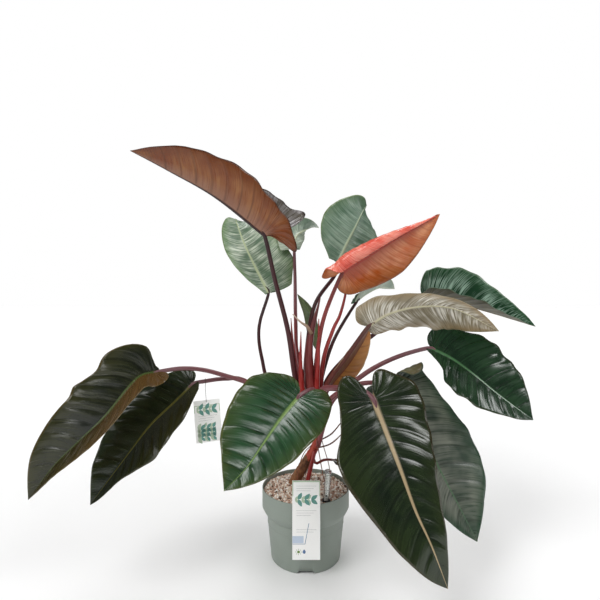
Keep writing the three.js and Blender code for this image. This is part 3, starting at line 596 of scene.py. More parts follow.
@dataclass(frozen=True)
class GroundFinish:
    """A finish mottled at one real scale: moulded plastic, bark, card, ink or twine.

    base turns to mottle in a grain of grain_mm, by mottle_share at most. relief_mm is the grain's height, and
    stretch makes it longer where it is below 1.
    """

    name: str
    base: str
    mottle: str
    grain_mm: float
    roughness: float
    relief_mm: float = 0.0
    mottle_share: float = 0.5
    stretch: tuple[float, float, float] = (1.0, 1.0, 1.0)

    def material(self) -> Material:
        """Makes the material from a noise whose grain has the stated size, and a broad one of 70 mm.

        Returns:
            The material.
        """
        material, tree, shader = new_material(self.name)
        place = add(tree, "ShaderNodeTexCoord").outputs["Object"]
        scaled = add(tree, "ShaderNodeMapping", {0: place, 3: self.stretch}).outputs[0]
        fine = {0: scaled, "Scale": 1000 / self.grain_mm, "Detail": 4.0}
        grain = add(tree, "ShaderNodeTexNoise", fine).outputs[0]
        broad = add(tree, "ShaderNodeTexNoise", {0: place, "Scale": 14.0, "Detail": 2.0}).outputs[0]
        both = add(tree, "ShaderNodeMath", {0: grain, 1: broad}, operation="MULTIPLY").outputs[0]
        colour = blend(tree, ramp(tree, both, 0.15, 0.4, 0, self.mottle_share), self.base, self.mottle)
        tree.links.new(colour, shader.inputs["Base Color"])
        rough = ramp(tree, grain, 0.3, 0.7, self.roughness - 0.06, self.roughness + 0.06)
        tree.links.new(rough, shader.inputs["Roughness"])
        if self.relief_mm:
            sizes = {"Strength": 0.6, "Distance": self.relief_mm * MM, "Height": grain}
            tree.links.new(add(tree, "ShaderNodeBump", sizes).outputs[0], shader.inputs["Normal"])
        shader.inputs["IOR"].default_value = 1.46
        return material


@dataclass(frozen=True)
class GrainFinish:
    """Loose mineral grains, each with one of several stone colours by its field shade, and dark pores."""

    name: str
    stones: tuple[str, ...]
    pore: str = "4a3a30"

    def material(self) -> Material:
        """Makes the grain material: a stepped ramp over the shade, with pores of about 1 mm.

        Returns:
            The material.
        """
        material, tree, shader = new_material(self.name)
        steps = add(tree, "ShaderNodeValToRGB", {0: stored(tree, "shade")})
        steps.color_ramp.interpolation = "CONSTANT"
        while len(steps.color_ramp.elements) < len(self.stones):
            steps.color_ramp.elements.new(0.5)
        for k, stone in enumerate(self.stones):
            steps.color_ramp.elements[k].position = k / len(self.stones)
            steps.color_ramp.elements[k].color = linear(stone)
        place = add(tree, "ShaderNodeTexCoord").outputs["Object"]
        pores = add(tree, "ShaderNodeTexNoise", {0: place, "Scale": 900.0, "Detail": 3.0}).outputs[0]
        colour = blend(tree, ramp(tree, pores, 0.5, 0.75, 0, 0.5), steps.outputs[0], self.pore)
        tree.links.new(colour, shader.inputs["Base Color"])
        relief = add(tree, "ShaderNodeBump", {"Strength": 0.6, "Distance": 0.6 * MM, "Height": pores})
        tree.links.new(relief.outputs[0], shader.inputs["Normal"])
        shader.inputs["Roughness"].default_value = 0.92
        return material


@dataclass(frozen=True)
class ClearFinish:
    """Clear injection-moulded polystyrene: colourless and smooth, so the eye sees its rims and gloss."""

    name: str = "clear polystyrene"
    tint: str = "fafcfb"

    def material(self) -> Material:
        """Makes the clear material.

        Returns:
            The material, with its constants on the shader.
        """
        material, _, shader = new_material(self.name)
        shader.inputs["Base Color"].default_value = linear(self.tint)
        shader.inputs["Roughness"].default_value = 0.04
        shader.inputs["IOR"].default_value = 1.5
        shader.inputs["Transmission Weight"].default_value = 0.95
        return material


# Living leaf tissue. A grown leaf's upper face is deep green under clear wax, which gives the eye long white
# streaks of gloss, painted in part into the light streak colours below as a painted sheen; its underside is
# paler and duller, and shows its veins.

# The upper face of the leaves that show their underside to the viewer.
TURNED_AWAY = LeafFace("1f3f2a", "33553c", "16301e", "7d9058", 0.24)

# A young leaf, still red-brown: its satin underside is copper and darkens at the margin. Its light streaks
# and the grey-lilac beside its midrib are a painted sheen.
COPPER = LeafFinish("copper leaf", LeafFace("4a4436", "8f8a8c", "3a3026", "4a2c20", 0.3),
                    LeafFace("74380c", "8f5c30", "4a2408", "2a1414", 0.3, halo="5f2c0e", painted_light_by_midrib="8f6a58"),
                    "2a1714", streak_share=0.6)
# Undersides with a bloom of wax, from pale grey-green to a cloudy and a silvery green.
PALE = LeafFinish("pale leaf underside", TURNED_AWAY,
                  LeafFace("587058", "c0cab6", "3a523e", "a9b58c", 0.36, halo="5f7f4a"), "6f8048",
                  streak_share=0.8)
CLOUDY = LeafFinish("cloudy green leaf underside", TURNED_AWAY,
                    LeafFace("42604a", "7d9280", "33503c", "9aa88a", 0.38, halo="4f6a48"), "6f8048",
                    streak_share=0.6)
SILVER = LeafFinish("silvery leaf underside", TURNED_AWAY,
                    LeafFace("7b8f7d", "b0baa8", "566a58", "b5bda2", 0.42), "6f8048", streak_share=0.6)
# The newest leaf, wet with gloss: orange-brown inside and coral outside. Its pinkish light streaks are a
# painted highlight, and the dark red beside its midrib is painted shade in the fold under its rolled half.
CORAL = LeafFinish("coral new leaf",
                   LeafFace("b8541c", "dc9468", "9a4418", "a8301c", 0.16, halo="a8561c", painted_light_by_midrib="9a2818"),
                   LeafFace("d8503f", "f08f7c", "c84838", "b83428", 0.26), "8a4a20")
# An ageing underside, dry and satin: grey-beige with brown between its veins, and cream-white streaks
# that are partly a painted sheen.
GREIGE = LeafFinish("grey-beige leaf underside", LeafFace("3a4a38", "7a8474", "2e3a2c", "8f8f64", 0.24),
                    LeafFace("857c66", "dcd8cc", "5f543f", "b8b294", 0.3, halo="8a744f"), "8f866c",
                    streak_share=0.85)
# Grown leaves in full gloss, from mid green to sea green and near black. The sea-green leaf's pale streaks
# are a painted highlight of white gloss.
GREEN = LeafFinish("green leaf", LeafFace("12341a", "24482a", "0a2010", "6f8a4a", 0.22, halo="3a4a20"),
                   LeafFace("4f5f34", "6f7f50", "3a4726", "7d9458", 0.4, halo="4f5a2c"), "5a5a30")
SEA_GREEN = LeafFinish("sea-green leaf", LeafFace("12341e", "86a08e", "0c2616", "4a7a48", 0.2, halo="24482a"),
                       LeafFace("3c3818", "5c5630", "2f2a14", "6b5a30", 0.5), "6b8068", streak_share=0.9)
DARK = LeafFinish("dark green leaf", LeafFace("0e2614", "1f3a22", "08160c", "3f6640", 0.2, halo="18301c"),
                  LeafFace("425230", "5f6c44", "30391f", "5f7440", 0.4, halo="4a522c"), "3a3f24")
BLACK = LeafFinish("near-black green leaf",
                   LeafFace("0d1a0c", "1f2c14", "060c05", "a39070", 0.2, halo="222c10"),
                   LeafFace("3a3a22", "555034", "2a281a", "7d7048", 0.4, halo="4a3f22"), "3f3420")
# A grown leaf whose wax mirrors the pale room: that grey over the green is a painted reflection in its
# colours.
GREY_GREEN = LeafFinish("grey-green leaf",
                        LeafFace("38443a", "72766a", "161f16", "4f6f50", 0.3, halo="24402c"),
                        LeafFace("4f5238", "6a6c50", "3a3c28", "7d8050", 0.4, halo="5a4a2c"), "2a4a34")
# Old leaves at the left, olive to dark olive, with one half browner than the other.
OLIVE = LeafFinish("olive-brown leaf", LeafFace("11180a", "2c2f18", "080b04", "4a5a2c", 0.22, halo="30300f"),
                   LeafFace("5c4220", "7a6238", "45331a", "6b5228", 0.4, halo="6b4a24"), "54451f",
                   flush="5a4020")
NIGHT = LeafFinish("dark olive leaf", LeafFace("0d150a", "1f2814", "060a05", "5a5628", 0.2, halo="222c10"),
                   LeafFace("4a4a2a", "626240", "36361e", "5f5a30", 0.4, halo="4f4a26"), "3c3a1c",
                   flush="2c2c16")
# A fading leaf: one half amber, the other purple-brown, with less gloss as it dries.
AMBER = LeafFinish("fading leaf", LeafFace("a8662a", "b87e3e", "7f4a1e", "6f2a24", 0.34),
                   LeafFace("8a5a34", "a87c50", "6a4026", "5a2620", 0.4), "c9b08a", flush="5f3c2e")
# A small leaf low on the stem, purple-brown and satin.
PURPLE = LeafFinish("purple young leaf", LeafFace("2f2620", "4f403a", "201815", "5f2a28", 0.28),
                    LeafFace("452a28", "5f403a", "301c1a", "5a2a28", 0.4), "3a2420")

# Living stalk and sheath tissue: smooth waxy skin, red to wine, which gives the eye a narrow line of gloss.
STALK_DARK = StalkFinish("dark stalk", "561f22", "33191c", "1f1012", 0.28)
STALK_PINK = StalkFinish("dusky stalk", "80302e", "5f3c40", "8f6a70", 0.28)
STALK_RED = StalkFinish("red stalk", "8f2522", "5f2a2a", "a8504a", 0.28)
STALK_BROWN = StalkFinish("brown-red stalk", "6a2a24", "4a2824", "6e4a3c", 0.3)
SHEATH = StalkFinish("red sheath", "8f1f1c", "7a1a1a", "b84a44", 0.26)
BROAD = StalkFinish("wine-red sheath", "7a2422", "4a2024", "8f4a44", 0.3)
STEM = StalkFinish("orange-red stem", "a03422", "7f221c", "c8644a", 0.42)
# Dead and dry tissue, matt and fibrous.
DRY = StalkFinish("dried sheath", "8a6a54", "c9b4a0", "a89080", 0.7)
ROOT = StalkFinish("aerial root", "6f3a28", "9a5a40", "4a281c", 0.55)

# Injection-moulded polypropylene, spark-eroded: grey-green, matt, with a grain that is felt more than seen.
POT_PLASTIC = GroundFinish("moulded polypropylene", "8a938b", "7e877d", 0.9, 0.5, 0.05)
# Dry bark: cracked in flakes of 6 mm, twice as long as wide, brown on dark brown.
BARK = GroundFinish("dry bark", "8a5c3a", "4a2c1c", 6.0, 0.8, 1.2, 1.0, (1.0, 1.0, 0.5))
# Mineral dust between the grains: pinkish, dead matt.
SOIL = GroundFinish("mineral dust", "cdb29e", "9c8270", 2.0, 0.95, 0.8, 0.8)
# Waxed twine, dark brown, with its strands just visible.
TWINE = GroundFinish("waxed twine", "4a4038", "2c2620", 0.8, 0.8, 0.1)
# Coated card: near white, with the faint gloss of its coating.
CARD_STOCK = GroundFinish("coated card", "fbfbf9", "f5f5f3", 3.0, 0.42, 0.0, 0.4)
# Moulded polystyrene, dark, and the paper strip behind the scale.
DARK_PLASTIC = GroundFinish("dark moulded plastic", "2c2a2a", "1c1a1a", 1.0, 0.45)
SCALE_STRIP = GroundFinish("pale printed strip", "fafaf6", "efeee8", 2.0, 0.5)
# Offset printing inks: flat, soft colours with the coating's own sheen.
INK_TEAL = GroundFinish("teal ink", "5f978c", "528a80", 2.0, 0.5)
INK_SAGE = GroundFinish("sage ink", "b9cbb2", "a9bca2", 2.0, 0.5)
INK_BLUE = GroundFinish("blue ink", "5f7da6", "547198", 2.0, 0.5)
INK_SKY = GroundFinish("pale blue ink", "c6d3e4", "bac8da", 2.0, 0.5)
INK_GREY = GroundFinish("grey ink", "8f9494", "7f8484", 2.0, 0.5)
INK_GREEN = GroundFinish("green ink", "6f8f4a", "5f7f3e", 2.0, 0.5)
# Pumice (near white), expanded clay (pinkish and brown) and zeolite (beige), broken and sieved: dull, pored.
GRAINS = GrainFinish("pumice, clay and zeolite grains",
                     ("e6d6c6", "c8a894", "f6f2ea", "b08a76", "e2c8b6",
                      "6a5446", "f2e8dc", "c09c86", "dccdbc", "fdfaf4"))


# Leaves


# One half of a blade from the back lobe to the tip: share of the half width, share of the length, and the
# share of the midrib at which the side vein to that point starts.
OUTLINE = ((0.1, -0.075, 0), (0.28, -0.15, 0), (0.52, -0.165, 0), (0.77, -0.11, 0), (0.93, -0.015, 0.01),
           (1, 0.105, 0.04), (0.99, 0.235, 0.12), (0.93, 0.365, 0.22), (0.86, 0.49, 0.34), (0.76, 0.61, 0.46),
           (0.63, 0.72, 0.59), (0.46, 0.82, 0.72), (0.25, 0.915, 0.86), (0, 1, 1))
LOBE_LENGTH = 0.17  # how far the longest lobe reaches behind the base, as a share of the length
VEIN_BOW = (0.55, 0.22)  # where a side vein's middle control point lies, as shares across and along


@dataclass(frozen=True)
class BladeDetail:
    """Sizes that every blade shares, in mm where nothing else is said."""

    thickness: float = 1.0
    keel: float = 3.2  # how far the midrib stands out below
    wave: float = 3.5  # height of the margin's waves
    waves: float = 2.6  # waves from base to tip
    ripples: float = 6.1  # smaller ripples of the margin from base to tip
    rows: int = 150
    columns: int = 24
    small_rows: int = 80
    small_columns: int = 14
    furrow: float = 3.0  # depth of the side veins below the tissue between them
    rib_half_width: float = 4.4


@dataclass(frozen=True)
class FlatHalf:
    """One half of a blade laid flat, as a grid of side veins (rows) from midrib to margin (columns).

    number is 0 for the half along heading x face and 1 for the other. u runs over the side veins from the
    back lobe to the tip, and v from midrib to margin. x and y are mm across and along the midrib, width is
    the half width at the vein's end, edge the same after its trim, and share is y as a share of the length,
    held at 0 to 1.
    """

    number: int
    u: Array
    v: Array
    x: Array
    y: Array
    width: Array
    edge: Array
    share: Array


@dataclass
class Leaf:
    """A leaf: a blade along a midrib and the stalk that carries it. Pairs are for the midrib's two sides."""

    name: str
    finish: LeafFinish
    stalk_finish: StalkFinish
    blade_slot: str
    stalk_slot: str
    midrib: Sequence[Point]
    face: Sequence[Point]  # where the upper face looks, at the base and at the tip
    width: Sequence[Sequence[float]]  # half width in mm from base to tip, by side
    fold: Sequence[Sequence[float]]  # degrees up from the flat beside the midrib, at the base and at the tip
    curl: Sequence[Sequence[float]]  # degrees that the half turns on from midrib to margin, likewise
    lobe: Sequence[float]  # factor on the back lobe's length
    stalk: Sequence[Point]  # from the blade down to the stem
    radius: tuple[float, float]  # of the stalk in mm, at the foot and at the blade
    flat: Sequence[float] = (0.0, 0.0)  # share of the half beside the midrib that stays straight
    bend: Sequence[float] = (0.0, 0.0)  # mm by which the back lobe's end rises towards the face
    veins: int = 17
    furrow: float = 1.0  # factor on the shared furrow depth
    ruffle: float = 1.0  # factor on the shared wave height
    rib: float = 1.0  # factor on the midrib's width
    scroll: tuple[float, float] = (1000.0, 10.0)  # mm behind the base where a lobe starts to roll, its radius
    tapered_roll: bool = False  # the curl follows the width at each place, so that a rolled half stays rolled
    trim: Sequence[Sequence[float]] = ((1.0, 1.0), (1.0, 1.0))  # factors on the width, lobe to tip, by side
    detail: BladeDetail = field(default_factory=BladeDetail)

    def __post_init__(self) -> None:
        """Works out an even run of points along the midrib."""
        self.line = curve(self.midrib, np.linspace(0, 1, 401))
        self.run = run_of(self.line)
        self.length = self.run[-1]
        self.heading = unit(np.gradient(self.line, axis=0))

    @property
    def small(self) -> bool:
        """Whether the blade is one of the little ones, at most 60 mm wide on each side."""
        return self.width[0][2] <= 60 and self.width[1][2] <= 60

    @property
    def scale(self) -> float:
        """Factor on the midrib, keel and furrows, which a little blade has at half size."""
        return 0.5 if self.small else 1.0

    def along_midrib(self, distance: Array) -> tuple[Array, Array, Array]:
        """Places along the midrib, which runs straight on behind the base.

        Args:
            distance: mm from the base.

        Returns:
            The midrib's point, and the directions to its side and to the face, at each distance.
        """
        held = np.clip(distance, 0, self.length)
        at = np.stack([np.interp(held, self.run, self.line[:, k]) for k in range(3)], -1)
        heading = unit(np.stack([np.interp(held, self.run, self.heading[:, k]) for k in range(3)], -1))
        at = at + heading * (distance - held)[..., None]
        first, last = (np.asarray(f, float) for f in self.face)
        face = first + (last - first) * (held / self.length)[..., None]
        face = unit(face - heading * np.sum(face * heading, -1, keepdims=True))
        return at, np.cross(heading, face), face

    def flat_half(self, number: int) -> FlatHalf:
        """One half laid flat.

        A point lies on the side vein u at the share v from midrib to margin. The vein is a quadratic curve
        from its start on the midrib to its end on the outline.

        Args:
            number: 0 for the side along heading x face, 1 for the other.

        Returns:
            The half's grid.
        """
        rows, columns = self.detail.rows, self.detail.columns
        if self.small:
            rows, columns = self.detail.small_rows, self.detail.small_columns
        u = np.linspace(0, 1, rows)[:, None] * np.ones((1, columns))
        v = np.linspace(0, 1, columns)[None, :] ** 1.5 * np.ones((rows, 1))  # closer together at the midrib
        outline = curve(OUTLINE, u)
        width = values(self.width[number], np.clip(outline[..., 1], 0, 1))
        start = np.maximum(outline[..., 2], 0) * self.length
        edge = outline[..., 0] * width * values(self.trim[number], u)
        end = outline[..., 1] * self.length * np.where(outline[..., 1] < 0, self.lobe[number], 1)
        x = 2 * v * (1 - v) * VEIN_BOW[0] * edge + v ** 2 * edge
        y = (1 - v) ** 2 * start + 2 * v * (1 - v) * (start + VEIN_BOW[1] * (end - start)) + v ** 2 * end
        return FlatHalf(number, u, v, x, y, width, edge, np.clip(y / self.length, 0, 1))

    def rolled(self, flat: FlatHalf) -> tuple[Array, Array]:
        """Folds a flat half up along the midrib by an angle and rolls it on along an arc.

        Both angles change evenly from base to tip. The arc's turn for each mm is the curl over the half's
        width. A point's place is the integral of its slope: sines across, cosines up.

        Args:
            flat: the half laid flat.

        Returns:
            How far each point lies out from the midrib, and up from it towards the face, in mm.
        """
        number, along = flat.number, flat.y / self.length
        fold, curl = (np.radians(pair[number][0] + (pair[number][1] - pair[number][0]) * flat.share)
                      for pair in (self.fold, self.curl))
        reach = flat.width
        if self.tapered_roll:
            curl = curl * (0.45 + 0.55 * smoothstep(-0.1, 0.06, along))  # opens at the base
            reach = np.maximum(flat.edge, 8)
        straight = self.flat[number] * reach
        bow = curl / (reach - straight)
        bow = np.where(np.abs(bow) < 1e-6, 1e-6, bow)
        near, far = np.minimum(flat.x, straight), np.maximum(flat.x - straight, 0)
        outward = near * np.cos(fold) + (np.sin(fold + bow * far) - np.sin(fold)) / bow
        upward = near * np.sin(fold) - (np.cos(fold + bow * far) - np.cos(fold)) / bow
        behind = np.maximum(-flat.y / self.length, 0)
        upward = upward + self.bend[number] * (behind / LOBE_LENGTH) ** 1.5
        return outward, upward + self.margin_waves(flat)

    def margin_waves(self, flat: FlatHalf) -> Array:
        """The margin's waves: two sines along the blade that grow with the distance from the midrib.

        Args:
            flat: the half laid flat.

        Returns:
            Their height in mm.
        """
        detail, number, along = self.detail, flat.number, flat.y / self.length
        waves = detail.wave * np.sin(2 * np.pi * (detail.waves * along + 0.3 * number))
        phase = detail.ripples * along + 0.4 * number + 0.2
        ripples = 0.6 * detail.wave * flat.v ** 3 * np.sin(2 * np.pi * phase)
        return self.ruffle * (flat.x / flat.width) ** 2 * np.minimum(1, flat.width / 90) * (waves + ripples)

    def furrows(self, flat: FlatHalf) -> tuple[Array, Array]:
        """The relief of the side veins: the tissue swells from each vein and falls off to the next.

        Args:
            flat: the half laid flat.

        Returns:
            The height of the tissue in mm, and how near each point is to a vein, from 0 to 1.
        """
        u, v = flat.u, flat.v
        uneven = 0.012 * np.sin(9 * u + 5 * flat.number + len(self.name))
        phase = (self.veins * (u + uneven) + 0.35 * flat.number) % 1
        swell = 1.75 * phase ** 0.45 * (1 - phase) ** 0.75 - 0.6
        fade = smoothstep(0.03, 0.25, v) * (1 - 0.75 * smoothstep(0.75, 1, v)) * smoothstep(1, 0.85, u)
        return self.detail.furrow * self.furrow * self.scale * swell * fade, 1 - 2 * np.abs(phase - 0.5)

    def half(self, number: int) -> tuple[Array, Array, dict[str, Array]]:
        """The middle surface of one half of the blade, folded, rolled and furrowed.

        Args:
            number: 0 for the side along heading x face, 1 for the other.

        Returns:
            Points (rows, columns, 3), their normals towards the face, and the fields of the grid.
        """
        flat = self.flat_half(number)
        outward, upward = self.rolled(flat)
        start, radius = self.scroll
        rolled = np.maximum(-flat.y - start, 0) / abs(radius)
        y = np.where(rolled > 0, -start - abs(radius) * np.sin(rolled), flat.y)
        upward = upward - radius * (1 - np.cos(rolled))
        at, side, face = self.along_midrib(y)
        sign = 1 - 2 * number
        points = at + side * (sign * outward)[..., None] + face * upward[..., None]
        normals = unit(sign * np.cross(np.gradient(points, axis=1), np.gradient(points, axis=0)))
        normals[:, 0] = face[:, 0]
        normals[-1] = face[-1]
        height, near_vein = self.furrows(flat)
        points = points + normals * height[..., None]
        return points, normals, self.fields(flat, near_vein)

    def fields(self, flat: FlatHalf, near_vein: Array) -> dict[str, Array]:
        """The numbers that the leaf finish and the skins read.

        Args:
            flat: the half laid flat.
            near_vein: how near each point is to a side vein.

        Returns:
            Arrays of the grid's shape by name.
        """
        u, v = flat.u, flat.v
        across = flat.x / (self.detail.rib_half_width * self.rib * self.scale * (1.06 - flat.share))
        fading = 0 if self.small else 0.8  # a grown leaf's second colour fades towards the tip
        return {"vein": np.exp(-(near_vein / 0.12) ** 2) * smoothstep(0.01, 0.08, v) * (1 - 0.6 * v),
                "rib": 1 - smoothstep(0.75, 1.1, across),
                "edge": smoothstep(0.96, 0.992, v),
                "halo": smoothstep(0.5, 1, v) + 0.6 * smoothstep(0.8, 1, u),
                "half": flat.number * (1 - fading * smoothstep(0.45, 0.85, u)),
                "rise": np.exp(-across ** 2 * 1.3),
                "share": flat.share, "u": u, "v": v}

    def blade(self) -> Surface:
        """The blade: both skins of both halves, a keel under the midrib, and a wall round the margin.

        Returns:
            The closed blade, with the fields that its finish reads.
        """
        parts = []
        for number in (0, 1):
            points, normals, fields = self.half(number)
            rows, columns = points.shape[:2]
            thin = self.detail.thickness / 2 * (1 - 0.5 * smoothstep(0.9, 1, fields["v"]))
            keel = self.scale * self.detail.keel * (1 - 0.85 * fields["share"]) * fields["rise"]
            crest = 0.25 * keel
            skins = [points + normals * (thin + crest)[..., None],
                     points - normals * (thin + keel)[..., None]]
            faces, _ = grid_faces(rows, columns)
            count = rows * columns
            lower = faces[:, ::-1] + count
            rim = np.concatenate([np.arange(columns), np.arange(2, rows + 1) * columns - 1])
            wall = np.stack([rim[:-1], rim[1:], rim[1:] + count, rim[:-1] + count], 1)
            # The second half starts elsewhere in the pattern, so that the halves aren't mirror images.
            uv = np.stack([fields["u"] + 0.37 * number, fields["v"]], -1).reshape(-1, 2)
            uv = np.concatenate([uv, uv])
            blocks = [faces, lower, wall]
            kept = {k: np.concatenate([fields[k].ravel()] * 2)
                    for k in ("vein", "rib", "edge", "half", "halo")}
            kept["under"] = np.repeat([0.0, 1.0], count)
            parts.append(Surface(np.concatenate([s.reshape(-1, 3) for s in skins]), blocks,
                                 [uv[b] for b in blocks], kept))
        return join(parts)

    def stalk_surface(self) -> Surface:
        """The stalk from the stem into the back of the midrib: round, with a shallow channel along it.

        Returns:
            The rod.
        """
        at, _, face = self.along_midrib(np.array([0.06 * self.length]))
        end = at[0] - face[0] * self.detail.keel * (0.3 if self.small else 0.6)
        route = [*reversed(self.stalk), tuple(end)]
        foot, top = self.radius

        def radius(share: Array) -> Array:
            """Even taper to the blade, then thinner as it runs into the midrib."""
            return (foot + (top - foot) * share) * (1 - 0.55 * smoothstep(0.93, 1, share))

        def section(angle: Array, share: Array) -> Array:
            """A circle with a shallow channel, a bell curve of the angle."""
            return 1 - 0.14 * np.exp(-((angle - np.pi / 2) / 0.45) ** 2) * smoothstep(0.1, 0.4, share)

        return tube(route, radius, 18, 7.0, section)

    def build(self, finishes: dict[str, Material], limits: tuple[Array, Array]) -> None:
        """Makes the blade and the stalk, in place of the CAD nodes of their names.

        Args:
            finishes: materials by name, made once each.
            limits: lowest and highest corner of the CAD box in mm, which nothing leaves.
        """
        for surface, finish, slot, part, weld in (
                (self.blade(), self.finish, self.blade_slot, "_blade", 0.02),
                (self.stalk_surface(), self.stalk_finish, self.stalk_slot, "_stalk", 0.0)):
            surface.points = np.clip(surface.points, *limits)
            if finish.name not in finishes:
                finishes[finish.name] = finish.material()
            piece = Piece(self.name + part + "_skin", slot, (self.name + part,))
            piece.build(surface, finishes[finish.name], weld)


